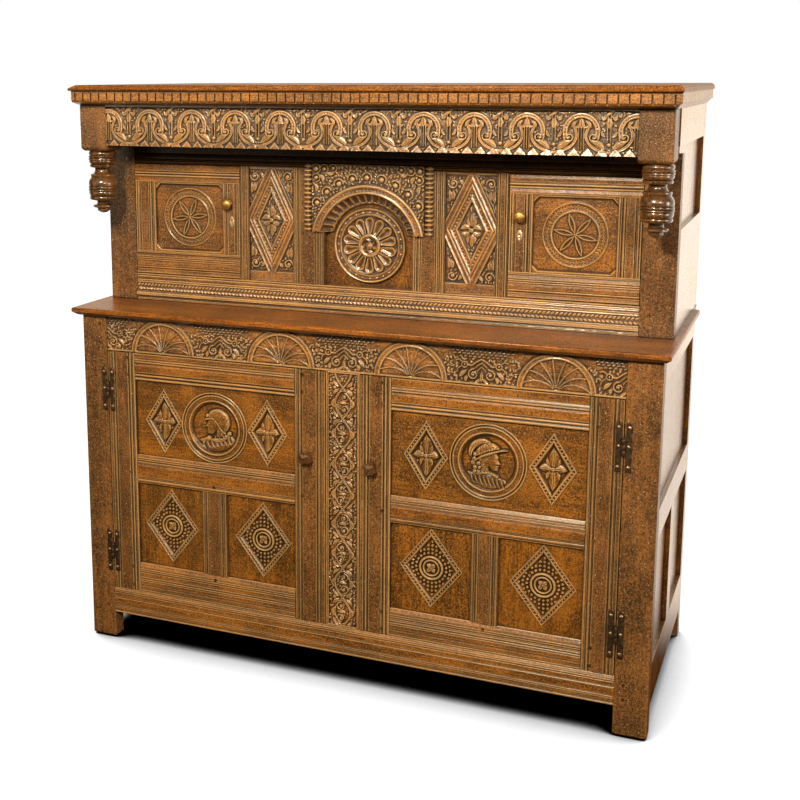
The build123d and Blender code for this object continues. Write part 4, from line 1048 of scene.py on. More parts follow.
# ------------------------------------------------------------------ base: lunette rail, muntin, bottom rail
LUNETTES = (-512.0, -176.0, 164.0, 513.0)
LUNETTE_RADIUS = 93.0
LUNETTE_BAND = 14.0
SPANDREL_GROUND = -4.6


def lunette(board, centre):
    """A half-round with a plain band, thin drooping ribs and a small hub."""
    x, z = centre
    near, dx, dz = board.around(centre, LUNETTE_RADIUS + 2)
    reach = np.hypot(dx, dz)
    inner = LUNETTE_RADIUS - LUNETTE_BAND
    board.lift(near, smooth((LUNETTE_RADIUS - reach) / 2.4), 0.0)
    board.sink(near, smooth((inner - reach) / 2.4), -2.4)
    board.h[near] += 1.2 * ridge(reach, LUNETTE_RADIUS - 2.6, 2.6) + 1.0 * ridge(reach, inner + 2.0, 2.4)

    def rib(lean, start, end, count=16):
        """A line from the hub to the band, which droops outward as it goes."""
        path = []
        for t in np.linspace(start, end, count):
            distance = 12 + (inner - 12) * t
            turn = math.radians(lean * (0.50 + 0.52 * t) + 4 * t)
            path.append((x + distance * math.sin(turn), z + distance * math.cos(turn)))
        return np.array(path)

    leans = (-80, -56, -33, -11, 11, 33, 56, 80)
    board.ground = -2.4
    for lean in leans:
        board.strap(rib(lean, 0.0, 1.0), 1.8, top=0.4, edge=1.5, crown=0.2)
    for start, end in zip(leans, leans[1:]):
        board.gouge(rib((start + end) / 2, 0.25, 0.92, 12), 7.0, 0.6)
        for t in (0.46, 0.64, 0.82):
            for offset in (-6, 0, 6):
                path = rib((start + end) / 2 + offset, t, t + 0.09, 3)
                board.pit(path[1], 1.5, 0.9)
    board.ground = SPANDREL_GROUND
    board.boss(centre, 13.0, top=0.0, flat=0.5)
    board.groove_ring(centre, 8.6, 2.0, 2.0)


def spandrel(board, centre_x, rng, sides=(-1, 1)):
    """Between two lunettes: rows of struck dashes, nested chevrons, ringed flowers and volutes."""
    def clear(x, z, margin):
        return all(math.hypot(x - hub, z - LUNETTE_Z) > LUNETTE_RADIUS + margin for hub in LUNETTES)

    for row, level in enumerate((900.0, 893.6, 887.2, 880.8)):
        reach = 86 - 10 * row
        for offset in np.arange(-reach + (5.5 if row % 2 else 0), reach, 11.0):
            if clear(centre_x + offset, level, 4) and (np.sign(offset) or 1) in sides:
                board.strap([(centre_x + offset - 2.0, level), (centre_x + offset + 2.0, level + 0.6)], 2.4,
                            top=-0.2, edge=1.8)
    for side in sides:
        def at(across, up):
            return (centre_x + side * across, up)
        board.strap(curve(at(0, 876), at(12, 869), at(24, 860), at(33, 861)), 2.6, top=0.2, edge=1.8)
        board.strap(curve(at(0, 867), at(9, 860), at(17, 852)), 2.3, top=0.0, edge=1.8)
        board.strap(curve(at(0, 857), at(6, 852), at(10, 846)), 2.2, top=-0.2, edge=1.6)
        board.ring(at(41, 861), 4.2, 9.2, top=0.4, edge=1.8)
        board.boss(at(41, 861), 3.0, top=0.0)
        for points in ((at(48, 868), at(55, 872), at(62, 870)), (at(49, 856), at(57, 850), at(60, 841))):
            board.strap(curve(*points), 2.2, top=0.0, edge=1.6)
        board.strap(scroll(at(20, 838), 13.0, 90, -1.25 * side, inner=0.30), 2.7, top=0.2, edge=1.8)
        board.boss(at(20, 838), 3.8, top=0.2)
        board.leaf(curve(at(36, 848), at(46, 840), at(54, 828)), 5.4, top=0.2, crease=1.5)
        board.leaf(curve(at(33, 836), at(38, 827), at(37, 818)), 4.8, top=0.0, crease=1.3)
        board.leaf(curve(at(3, 830), at(9, 823), at(18, 819)), 4.4, top=0.0, crease=1.2)
    board.leaf(curve((centre_x, 846), (centre_x, 834), (centre_x, 817)), 5.0, top=0.2, crease=1.6)
    low, high = centre_x + 92 * min(sides + (0,)), centre_x + 92 * max(sides + (0,))
    leafage(board, (low, high), (815, 880), rng, inside=lambda x, z: clear(x, z, 4))


rail_x, rail_y, rail_z = spans("lunette_rail")
LUNETTE_Z = rail_z[0] - 1.0


def lunette_rail():
    rng = np.random.default_rng(31)
    board = Board(rail_x, rail_z, 1.1, ground=SPANDREL_GROUND)
    board.h[:] = board.ground
    for hub in LUNETTES:
        lunette(board, (hub, LUNETTE_Z))
    middles = [(a + b) / 2 for a, b in zip(LUNETTES, LUNETTES[1:])]
    for centre in middles:
        spandrel(board, centre, rng)
    spandrel(board, LUNETTES[0] - 168.0, rng, sides=(1,))
    spandrel(board, LUNETTES[-1] + 160.0, rng, sides=(-1,))
    low = board.z < rail_z[0] + 5.0
    board.h[low] = np.maximum(board.h[low], 0.2)
    board.waver(rng, 6.0, 0.16)
    board.h = np.minimum(board.h, 1.2)
    board.eased(1.4)
    carve(board, rail_y[0] + 1.2, rail_y[1], 2.3, "lunette_rail_carving", "carved", "oak_carved",
          nodes=["lunette_rail"])


def vine_muntin():
    """Two strands that cross up the middle of the base, with volutes and leaves in every loop."""
    rng = np.random.default_rng(32)
    across, depth, up = spans("base_centre_muntin")
    board = Board(across, up, 0.95, ground=-4.4)
    left, right = across[0] + 7.0, across[1] - 7.0
    near = board.near(left, right, up[0] + 4, up[1] - 4)
    board.sink(near, 1.0)
    centre, period, swing = middle((left, right)), 156.0, 21.0
    z = np.linspace(up[0] + 4, up[1] - 4, 260)
    turns = 2 * np.pi * (z - up[0]) / period
    for phase, half in ((0.0, 3.4), (np.pi, 2.6)):
        wave = swing * np.sin(turns + phase)
        board.strap(np.column_stack([centre + wave, z]), half, top=0.2, edge=2.0, hollow=1.3)
    for index, level in enumerate(np.arange(up[0] + period / 4, up[1] - 10, period / 2)):
        side = 1 if index % 2 else -1
        for lift, turn in ((15.0, 1), (-15.0, -1)):
            eye = (centre + side * 4.0, level + lift)
            board.strap(scroll(eye, 11.5, 90 * turn, -1.1 * side * turn, inner=0.35), 2.4, top=0.2, edge=1.8)
            board.boss(eye, 4.0, top=0.6)
            board.pit(eye, 1.4, 1.6)
            board.strap(arc(eye, 17.0, 90 * turn - 75, 90 * turn + 75, 14), 2.0, top=-0.2, edge=1.6)
        for out in (-1, 1):
            board.leaf(curve((centre + out * 20, level - 13), (centre + out * 27, level),
                             (centre + out * 20, level + 13)), 4.6, top=0.2, crease=1.4)
        board.leaf(curve((centre - side * 10, level), (centre - side * 2, level + 2),
                         (centre + side * 13, level)), 4.8, top=0.4, crease=1.6)
    for level in np.arange(up[0], up[1], period / 2):
        for out in (-1, 1):
            for lift in (-1, 1):
                board.leaf(curve((centre + out * 9, level + lift * 3), (centre + out * 19, level + lift * 9),
                                 (centre + out * 26, level + lift * 20)), 4.8, top=0.0, crease=1.5)
            board.boss((centre + out * 22, level), 4.6, top=0.2)
            board.pit((centre + out * 22, level), 1.6, 1.8)
    leafage(board, (left, right), (up[0] + 4, up[1] - 4), rng, pitch=6.6, size=3.8, half=2.2)
    for edge in (left - 3.0, right + 3.0):
        board.cut([(edge, up[0]), (edge, up[1])], 1.5, 1.8)
    board.waver(rng, 6.0, 0.16)
    board.h = np.minimum(board.h, 0.8)
    board.eased(1.2)
    carve(board, depth[0] + 0.8, depth[1], 4.1, "centre_muntin_carving", "carved", "oak_carved",
          nodes=["base_centre_muntin"])


def bottom_rail():
    rng = np.random.default_rng(33)
    across, depth, up = spans("base_bottom_rail")
    solid = Solid()
    lines = [("bead", 4.0, 3.0), ("groove", 10.0, 1.6, 2.2), ("bead", 22.0, 2.0), ("groove", 46.0, 1.6, 2.2),
             ("bead", -12.0, 2.6), ("up_facet", -7.5, 8.0, 4.2)]
    member(solid, across, up, depth[0], depth[1], rng, lines, "x")
    solid.make("bottom_rail_moulding", "rail", "oak_frame", nodes=["base_bottom_rail"])


lunette_rail()
vine_muntin()
bottom_rail()


# ------------------------------------------------------------------ canopy: strapwork frieze
FRIEZE_PITCH = 121.0
FRIEZE_ARCS = [-663.0 + FRIEZE_PITCH * index for index in range(12)]


def strapwork(board, x, low):
    """One repeat: a pitted arch on volutes, straps that cross behind it, darts, leaves and facets."""
    half = FRIEZE_PITCH / 2

    def at(across, up):
        return (x + across, low + up)

    for lean in (-1, 1):
        board.strap(curve(at(lean * 16, 64), at(lean * 10, 42), at(lean * 21, 22), at(lean * 42, 10),
                          at(lean * half, 6)), 5.0, top=-0.9, edge=2.4, hollow=1.0)
        for across in (15.2, 45.4):
            place = at(lean * across, 0)
            near, dx, dz = board.around(place, 17)
            facet = (dz < 16.5 * (1 - np.abs(dx) / 14.4)) & (dz >= 0)
            board.h[near] = np.where(facet, 0.2 - 0.17 * dz, board.h[near])
    board.strap(arc(at(0, 52), 36.0, 196, -16, 34), 7.4, top=0.4, edge=2.6, hollow=0.9)
    for angle in range(-8, 190, 12):
        turn = math.radians(angle)
        board.pit(at(36 * math.cos(turn), 52 + 36 * math.sin(turn)), 1.9, 1.5)
    for lean in (-1, 1):
        eye = at(lean * 27, 40)
        board.strap(scroll(eye, 12.0, 20 if lean > 0 else 160, -1.2 * lean, inner=0.30), 3.0,
                    top=0.4, edge=2.0)
        board.boss(eye, 4.2, top=0.4)
        board.pit(eye, 1.5, 1.6)
        board.leaf(curve(at(lean * 20, 33), at(lean * 36, 27), at(lean * 54, 12)), 8.4,
                   top=0.7, crease=1.6, fullest=0.5)
        board.leaf(curve(at(lean * 8, 76), at(lean * 17, 70), at(lean * 22, 58)), 4.6, top=-0.2, crease=1.4)
        board.leaf(curve(at(lean * 3, 70), at(lean * 8, 62), at(lean * 14, 66)), 3.8, top=0.0, crease=1.2)
    # the shaft under the arch, with its arrow head
    for offset in (-5.4, 0.0, 5.4):
        board.strap([at(offset, 14), at(offset, 62)], 2.3, top=0.0, edge=1.8)
    board.leaf(curve(at(0, 58), at(0, 68), at(0, 84)), 7.6, top=0.4, crease=1.8)
    # the shaft between this arch and the next, with a lozenge head and a stroke over it
    for offset in (-3.6, 3.6):
        board.strap([at(half + offset, 30), at(half + offset, 90)], 2.4, top=0.0, edge=1.8)
    board.leaf(curve(at(half, 58), at(half, 71), at(half, 84)), 8.0, top=0.6, crease=1.8, fullest=0.5)
    board.leaf(curve(at(half - 15, 84), at(half, 93), at(half + 17, 108)), 4.6, top=0.4, crease=1.4)
    for lean in (-1, 1):
        board.leaf(curve(at(half + lean * 5, 88), at(half + lean * 13, 80), at(half + lean * 18, 92)), 4.8,
                   top=0.0, crease=1.4)
        board.leaf(curve(at(half + lean * 6, 40), at(half + lean * 14, 46), at(half + lean * 16, 58)), 4.2,
                   top=-0.2, crease=1.2)
    board.boss(at(half, 24), 5.2, top=-0.2)


def frieze():
    rng = np.random.default_rng(34)
    across, depth, up = spans("frieze_rail")
    board = Board(across, up, 1.05, ground=-5.8)
    band_low, band_high = up[0], up[1] - 5.0
    board.sink(board.near(*across, band_low, band_high - 1), 1.0)
    for place in FRIEZE_ARCS:
        strapwork(board, place, band_low)
    leafage(board, across, (band_low + 2, band_high - 2), rng, pitch=7.4, size=4.4, half=2.6, top=-1.6)
    board.h[board.z > band_high] = 0.4
    board.cut([(across[0], up[1] - 7.0), (across[1], up[1] - 7.0)], 1.6, 1.6)
    board.waver(rng, 6.0, 0.2)
    board.h = np.minimum(board.h, 0.8)
    carve(board, depth[0] + 0.8, depth[1], 5.2, "frieze_carving", "carved", "oak_carved",
          nodes=["frieze_rail"])


frieze()


# ------------------------------------------------------------------ upper stage
UPPER_FACE = spans("upper_top_rail")[1][0]
UPPER_DOORS = {
    "left": {"opening": (-606.0, -407.0), "wheel": (-507.0, 1158.0), "turn": 8.0,
             "keyhole": (-379.0, 1151.0)},
    "right": {"opening": (416.0, 612.0), "wheel": (515.0, 1157.0), "turn": -12.0,
              "keyhole": (385.0, 1150.0)},
}
UPPER_LEVELS = (1064.0, 1250.0)
UPPER_STILE_LINES = [("bead", 4.0, 2.8), ("groove", 11.0, 2.0, 2.8), ("bead", 16.0, 2.8),
                     ("groove", -14.0, 2.0, 2.6), ("bead", -8.0, 2.8)]
UPPER_TOP_LINES = [("up_facet", 5.0, 9.0, 1.7), ("groove", 20.0, 1.8, 2.6), ("bead", 24.0, 2.4),
                   ("groove", 28.0, 1.4, 2.0), ("up_facet", 38.0, 7.0, 1.5)]
UPPER_FOOT_LINES = [("up_facet", 2.0, 7.0, 1.4), ("groove", 13.0, 1.6, 2.2), ("bead", 17.0, 2.2),
                    ("up_facet", 28.0, 6.0, 1.3), ("bead", 41.0, 2.4), ("up_facet", 46.0, 8.5, 2.0)]


def escutcheon(body, centre, front):
    """A small worn plate, waisted round its keyhole."""
    reach = np.linspace(0.02, 1, 16)[:, None]
    turns = -np.linspace(0, 2 * np.pi, 48, endpoint=False)[None, :]
    outline = 1 - 0.22 * np.cos(turns) ** 2 - 0.10 * np.sin(2 * turns) ** 2
    board = Board.mapped(centre[0] + 9.0 * reach * outline * np.cos(turns),
                         centre[1] + 15.0 * reach * outline * np.sin(turns), closed=True)
    board.h = 1.6 - 0.8 * reach ** 4 * np.ones_like(board.x)
    board.pit((centre[0], centre[1] + 2.0), 3.6, 1.3)
    board.pit((centre[0], centre[1] - 4.0), 2.4, 1.3)
    carve(board, front, front + 1.5, 0.0, f"{body}_escutcheon", "worn_iron", "wrought_iron", body, angle=50)


def upper_door_frame(body, door, rng):
    across, depth, up = spans(f"{body}_frame")
    left, right = door["opening"]
    stiles, rails = Solid(), Solid()
    for span, lines in (((across[0], left), mirrored_lines(UPPER_STILE_LINES)),
                        ((right, across[1]), UPPER_STILE_LINES)):
        member(stiles, span, (UPPER_LEVELS[0] - 0.4, UPPER_LEVELS[1] + 0.4), depth[0] + 0.4, depth[1], rng,
               lines, "z")
    for span, lines in (((up[0], UPPER_LEVELS[0]), UPPER_FOOT_LINES),
                        ((UPPER_LEVELS[1], up[1]), UPPER_TOP_LINES)):
        member(rails, across, span, depth[0], depth[1], rng, lines, "x")
    stiles.make(f"{body}_stiles", "stile", "oak_frame", body, [f"{body}_frame"])
    rails.make(f"{body}_rails", "rail", "oak_frame", body)


def upper_door_panel(body, door, rng):
    """A panel behind a raised rim whose head and foot are canted at the corners."""
    left, right = door["opening"]
    across, depth, up = spans(f"{body}_panel")
    board = Board(across, up, 0.9, ground=0.0)
    board.h -= 2.4
    board.waver(rng, *WARP)
    half = ((right - left) / 2 + 1.0, length(UPPER_LEVELS) / 2 - 6.0)
    dx, dz = np.abs(board.x - middle((left, right))), np.abs(board.z - middle(UPPER_LEVELS))
    rim = np.maximum(dz - half[1], (dz - half[1]) * 0.5 + (dx - half[0] + 15.0) * 0.5)
    board.h = board.h + 5.6 * smooth((rim + 1.0) / 4.0)
    daisy_wheel(board, door["wheel"], 76.0, 55.0, door["turn"])
    board.waver(rng, *TOOL_MARKS)
    board.h = np.maximum(board.h, -5.4)
    carve(board, depth[0] + 4.0, depth[1], cut_from(rng), f"{body}_wheel_panel", "panel", "oak_panel", body,
          [f"{body}_panel"])


def daisy_wheel(board, centre, radius, inner, turn):
    """A compass-drawn wheel: a ring hatched all round a six-petalled daisy."""
    x, z = centre
    near, dx, dz = board.around(centre, radius + 4)
    angle, reach = np.arctan2(dz, dx), np.hypot(dx, dz)
    board.h[near] += 1.8 * ridge(reach, radius, 3.4) + 1.7 * ridge(reach, inner + 1.5, 3.2)
    for index in range(52):
        start = 2 * math.pi * index / 52
        for out, lean in ((radius - 6.5, 50), (radius - 13.0, -50)):
            board.chip((x + out * math.cos(start), z + out * math.sin(start)), (3.4, 1.3),
                       math.degrees(start) + 90 + lean, 1.9)
    sector = (angle - math.radians(turn)) % (math.pi / 3) - math.pi / 6
    # each petal is where two compass arcs of the wheel's own radius overlap
    offset = np.pi / 6 - np.abs(sector)
    px, pz = reach * np.cos(offset), reach * np.sin(offset)
    bulge = inner - np.hypot(px - inner / 2, pz + inner * math.sqrt(3) / 2)
    petal = smooth(bulge / 2.0) * (reach < inner - 1)
    board.h[near] += np.where(reach < inner - 1.0, -1.6 * (1 - petal), 0)
    board.h[near] += np.where(petal > 0.0, 2.0 * ridge(bulge, 2.2, 3.2), 0) * (reach < inner - 1)
    board.h[near] -= np.where(petal > 0.1, 1.8 * np.clip((bulge - 3.0) / 3.0, 0, 1), 0)
    for index in range(6):
        lean = math.radians(turn) + index * math.pi / 3
        for out in (0.3, 0.45, 0.6, 0.75):
            board.pit((x + inner * out * math.cos(lean), z + inner * out * math.sin(lean)), 1.9, 1.4)
    board.boss(centre, 4.0, top=0.0)


for index, (name, door) in enumerate(UPPER_DOORS.items()):
    rng = np.random.default_rng(50 + index)
    body = f"upper_{name}_door"
    upper_door_frame(body, door, rng)
    upper_door_panel(body, door, rng)
    escutcheon(body, door["keyhole"], spans(f"{body}_frame")[1][0])


def twist_rail():
    """The lower rail: a ledge moulding, two rows of twist, and fillets above."""
    rng = np.random.default_rng(35)
    across, depth, up = spans("twist_rail")
    board = Board(across, up, 1.2, ground=-2.6)
    u = board.z - up[0]
    board.h = moulding(u, length(up), [("groove", 8.0, 1.6, 2.0), ("groove", 59.5, 1.6, 2.4),
                                       ("bead", 55.0, 2.4), ("bead", 65.0, 3.0)])
    ledge = smooth((6.0 - np.abs(u - 17.5)) / 3.2)
    board.h = board.h + 5.4 * ledge
    for level, lean in ((42.5, 32), (31.0, -32)):
        near = board.near(*across, up[0] + level - 5.2, up[0] + level + 5.2)
        board.h[near] = np.minimum(board.h[near], board.ground)
        for place in np.arange(across[0] + 4, across[1], 10.4):
            x, z = place + (5.2 if lean < 0 else 0), up[0] + level
            run, rise = 6.4 * math.cos(math.radians(lean)), 6.4 * math.sin(math.radians(lean))
            board.leaf([(x - run, z - rise), (x, z), (x + run, z + rise)], 3.3,
                       top=0.2, crease=0.0, fullest=0.5)
    board.waver(rng, 6.0, 0.10)
    board.eased(1.2)
    carve(board, depth[0] + 6.0, depth[1], 3.3, "twist_rail_carving", "carved", "oak_carved",
          nodes=["twist_rail"])


def top_rail():
    rng = np.random.default_rng(36)
    across, depth, up = spans("upper_top_rail")
    solid = Solid()
    member(solid, across, up, depth[0], depth[1], rng,
           [("bead", 5.0, 2.8), ("groove", 12.0, 1.8, 2.6), ("up_facet", 18.0, 10.0, 4.0)], "x")
    # the top rail under the canopy takes the darker copy of the oak, as painted shade
    solid.make("upper_top_rail_moulding", "painted_shade", "oak_frame", nodes=["upper_top_rail"])


MUNTINS = [(-354.0, -329.0), (-204.0, -120.0), (116.0, 200.0), (327.0, 357.0)]
KEEPERS = {MUNTINS[0]: "upper_left_door_bolt", MUNTINS[3]: "upper_right_door_bolt"}
KEEPER_DEPTH = 12.0
KEEPER_ROOM = 0.9


def keeper_muntin(solid, span, depth, up, rng, lines, bolt):
    """A muntin with a mortise in its back, open towards the door, where the lock's bolt shoots home."""
    bolt_x, bolt_y, bolt_z = spans(bolt)
    front = bolt_y[0] - KEEPER_ROOM
    low, high = bolt_z[0] - KEEPER_ROOM, bolt_z[1] + KEEPER_ROOM
    member(solid, span, up, depth[0], front, rng, lines, "z")
    if middle(bolt_x) < middle(span):
        rest = (span[0] + KEEPER_DEPTH, span[1])
    else:
        rest = (span[0], span[1] - KEEPER_DEPTH)
    for across, levels in ((span, (up[0], low)), (rest, (low, high)), (span, (high, up[1]))):
        solid.box(across, (front, depth[1]), levels)


def upper_muntins():
    rng = np.random.default_rng(37)
    _, depth, up = spans("upper_muntins")
    solid = Solid()
    wide = [("bead", 5.0, 2.8), ("groove", 13.0, 2.0, 2.8), ("bead", 19.0, 2.6),
            ("bead", -5.0, 2.8), ("groove", -13.0, 2.0, 2.8), ("bead", -20.0, 2.8)]
    narrow = [("bead", 5.0, 2.6), ("bead", -5.0, 2.6)]
    for span in MUNTINS:
        if span in KEEPERS:
            keeper_muntin(solid, span, depth, up, rng, narrow, KEEPERS[span])
        else:
            member(solid, span, up, depth[0], depth[1], rng, wide, "z")
    solid.make("upper_muntin_mouldings", "stile", "oak_frame", nodes=["upper_muntins"])


def lozenge_panel(name, centre, rng):
    """A tall lozenge in a broad band, a narrower one within it, a flower at its heart and rough
    foliage in every corner."""
    across, depth, up = spans(f"lozenge_panel_{name}")
    board = Board(across, up, 0.85, face=3.4, ground=-3.0)
    board.h[:] = board.ground
    x, z = centre
    half = (63.0, 129.0)
    edge = lozenge_reach(board.x - x, board.z - z, *half)
    broad = smooth((edge + 13.0) / 1.8) * smooth((26.5 - edge) / 1.8)
    board.h = np.where(broad > 0, board.ground + (1.4 - board.ground) * broad, board.h)
    for inset, wide in ((-10.5, 4.4), (1.6, 4.6), (9.0, 4.0), (23.2, 4.4)):
        board.h += 2.3 * ridge(edge, inset, wide)
    for place, _ in along_lozenge(centre, half, 16.0, 8.6):
        board.pit(place, 2.8, 2.2)

    def reach(px, pz):
        return float(lozenge_reach(np.array(px - x), np.array(pz - z), *half))

    # the flower: two broad lobes each side of a boss, and a blade above and below
    for side in (-1, 1):
        board.leaf(curve((x + side * 3, z + 3), (x + side * 14, z + 9), (x + side * 29, z + 1)), 6.6,
                   top=3.4, crease=1.8)
        board.leaf(curve((x + side * 3, z - 4), (x + side * 14, z - 9), (x + side * 26, z - 5)), 7.0,
                   top=3.6, crease=1.8)
        board.leaf(curve((x, z + side * 8), (x + 2, z + side * 24), (x, z + side * 44)), 7.4,
                   top=2.6, crease=2.0)
        for up_down in (1, -1):
            board.leaf(curve((x + side * 2, z + up_down * 8), (x + side * 9, z + up_down * 20),
                             (x + side * 8, z + up_down * 34)), 4.6, top=2.0, crease=1.4)
    board.boss((x, z), 6.4, top=4.6)
    for side in (-1, 1):
        for high in (-1, 1):
            def at(inward, down):
                return (x + side * (61 - inward), z + high * (128 - down))
            board.strap(scroll(at(14, 15), 12.5, 90 + 90 * high, -1.2 * side * high, inner=0.25), 3.0,
                        top=2.6, edge=2.0)
            board.boss(at(14, 15), 4.6, top=3.2)
            board.leaf(curve(at(3, 30), at(7, 44), at(3, 64)), 6.0, top=2.6, crease=2.0)
            board.leaf(curve(at(13, 31), at(15, 44), at(11, 58)), 5.4, top=2.6, crease=2.0)
            board.leaf(curve(at(29, 5), at(36, 12), at(41, 22)), 4.8, top=2.6, crease=1.6)

    def lean(px, pz):
        return math.atan2((pz - z) * 0.6, abs(px - x) - 61) if abs(px - x) > 8 else math.pi / 2

    leafage(board, (x - 61, x + 61), (z - 128, z + 128), rng,
            inside=lambda px, pz: reach(px, pz) < -14.5 or reach(px, pz) > 28.0, lean=lean,
            pitch=6.4, size=4.4, half=2.5, top=1.8)
    for low, high in ((up[1] - 6.0, up[1]), (up[0], up[0] + 26.0)):
        board.h[(board.z > low) & (board.z <= high)] = 1.6
    margin = 5.0
    board.h[(board.x < across[0] + margin) | (board.x > across[1] - margin)] = 1.6
    board.waver(rng, 6.0, 0.16)
    board.h = np.minimum(board.h, 3.9)
    carve(board, depth[0] + 4.0, depth[1], cut_from(rng), f"lozenge_panel_{name}_carving", "carved",
          "oak_carved", nodes=[f"lozenge_panel_{name}"])


twist_rail()
top_rail()
upper_muntins()
for index, (name, centre) in enumerate((("left", (-267.0, 1160.0)), ("right", (265.0, 1157.0)))):
    lozenge_panel(name, centre, np.random.default_rng(60 + index))


# ------------------------------------------------------------------ arch, rosette and spools
ARCH_CENTRE = (0.0, 1110.0)
ARCH_INNER = 127.0
ARCH_OUTER = 150.0
REVEAL_INNER = 100.0
ROSETTE_CENTRE = (0.0, 1106.0)
ROSETTE_RADIUS = 95.0


def arch_grid(inner, columns, rows, half, foot, top, outer=None):
    """A grid between an arch and the board's outline, or between two arches."""
    angle_low = math.asin((foot - ARCH_CENTRE[1]) / inner)
    corner = math.atan2(foot - ARCH_CENTRE[1], half)
    t = np.linspace(0, 1, columns)
    inside = np.pi - angle_low - (np.pi - 2 * angle_low) * t
    start = np.column_stack([ARCH_CENTRE[0] + inner * np.cos(inside),
                             ARCH_CENTRE[1] + inner * np.sin(inside)])
    if outer is None:
        outside = np.pi - corner - (np.pi - 2 * corner) * t
        run = np.minimum(half / np.maximum(np.abs(np.cos(outside)), 1e-9),
                         (top - ARCH_CENTRE[1]) / np.maximum(np.sin(outside), 1e-9))
        end = np.column_stack([run * np.cos(outside), ARCH_CENTRE[1] + run * np.sin(outside)])
    else:
        far = math.asin((foot - ARCH_CENTRE[1]) / outer)
        outside = np.pi - far - (np.pi - 2 * far) * t
        end = np.column_stack([outer * np.cos(outside), ARCH_CENTRE[1] + outer * np.sin(outside)])
    s = np.linspace(0, 1, rows)[:, None]
    return start[:, 0] * (1 - s) + end[:, 0] * s, start[:, 1] * (1 - s) + end[:, 1] * s


def arch_board():
    """The applied board: a plain band round the arch, a row of curled balls and foliage over it."""
    rng = np.random.default_rng(38)
    across, depth, up = spans("arch_board")
    x, z = arch_grid(ARCH_INNER, 520, 90, across[1], up[0], up[1])
    board = Board.mapped(x, z, face=0.0, ground=-4.6)
    board.h[:] = board.ground
    for index in range(11):
        angle = math.radians(24 + 132 * index / 10)
        side = 1 if math.cos(angle) >= 0 else -1
        place = (168.0 * math.cos(angle), ARCH_CENTRE[1] + 168.0 * math.sin(angle))
        board.boss(place, 7.2, top=1.8, flat=0.1)
        turn = math.degrees(angle) - 20
        board.strap(arc(place, 12.4, turn - 100 * side, turn + 90 * side, 18), 3.0, top=0.8, edge=2.0)
    for side in (-1, 1):
        def at(inward, down):
            return (side * (across[1] - inward), up[1] - down)
        for place, size in ((at(11, 12), 7.0), (at(34, 12), 5.6), (at(12, 34), 5.6), (at(58, 10), 5.0)):
            board.boss(place, size, top=1.6, flat=0.1)
            board.strap(scroll(place, size + 5.0, 200 * side, 0.72 * side, inner=0.95), 2.6,
                        top=0.6, edge=1.8)
        for points in ((at(22, 26), at(30, 34), at(32, 46)), (at(42, 20), at(52, 24), at(62, 22)),
                       (at(8, 48), at(14, 58), at(12, 72))):
            board.leaf(curve(*points), 5.6, top=1.2, crease=1.8)
    reach = np.hypot(board.x, board.z - ARCH_CENTRE[1])
    leafage(board, (-across[1], across[1]), up, rng,
            inside=lambda px, pz: math.hypot(px, pz - ARCH_CENTRE[1]) > ARCH_OUTER + 3,
            lean=lambda px, pz: math.atan2(pz - ARCH_CENTRE[1], px) + 0.5, half=2.8, top=0.0)
    plain = 0.4 * smooth((ARCH_OUTER - reach) / 2.4)
    board.h = np.where(reach <= ARCH_OUTER, plain, board.h)
    board.h += 2.2 * ridge(reach, ARCH_OUTER - 3.6, 4.4) + 1.6 * ridge(reach, ARCH_INNER + 3.4, 3.4)
    for index in range(40):
        angle = math.radians(10 + 160 * (index + 0.5) / 40)
        out = (ARCH_OUTER + ARCH_INNER) / 2
        board.pit((out * math.cos(angle), ARCH_CENTRE[1] + out * math.sin(angle)), 2.4, 1.4)
    board.h = np.minimum(board.h, 2.9)
    board.waver(rng, 8.0, 0.12)
    carve(board, depth[0] + 3.0, depth[1], 1.4, "arch_board_carving", "carved", "oak_carved",
          nodes=["arch_board"])


def arch_reveal():
    """The splayed reveal: flutes that run up from a scalloped lip at the niche to the arch."""
    across, depth, up = spans("arch_reveal")
    flutes, per = 17, 22
    columns, rows = flutes * per + 1, 40
    x, z = arch_grid(REVEAL_INNER + 1, columns, rows, across[1], up[0], up[1], outer=ARCH_INNER + 0.5)
    phase = (np.arange(columns) % per) / per
    s = np.linspace(0, 1, rows)[:, None]
    # each flute is a gouge stroke: its round end stops short of the lip, its arrises stay sharp
    off = np.abs(phase - 0.5)[None, :] * 2
    end = np.sqrt(np.clip(1 - np.clip((0.46 - s) / 0.34, 0, 1) ** 2, 0, 1))
    scoop = np.sqrt(np.clip(1 - (off / np.maximum(0.92 * end, 0.02)) ** 2, 0, 1)) * (s > 0.12)
    height = length(depth) * (0.20 + 0.74 * s) - 8.0 * scoop * end
    board = Board.mapped(x, z)
    board.h = np.maximum(height, 0.6)
    board.waver(np.random.default_rng(39), 12.0, 0.12)
    carve(board, depth[1], depth[1] + 0.02, 1.1, "arch_reveal_flutes", "carved", "oak_carved",
          nodes=["arch_reveal"])


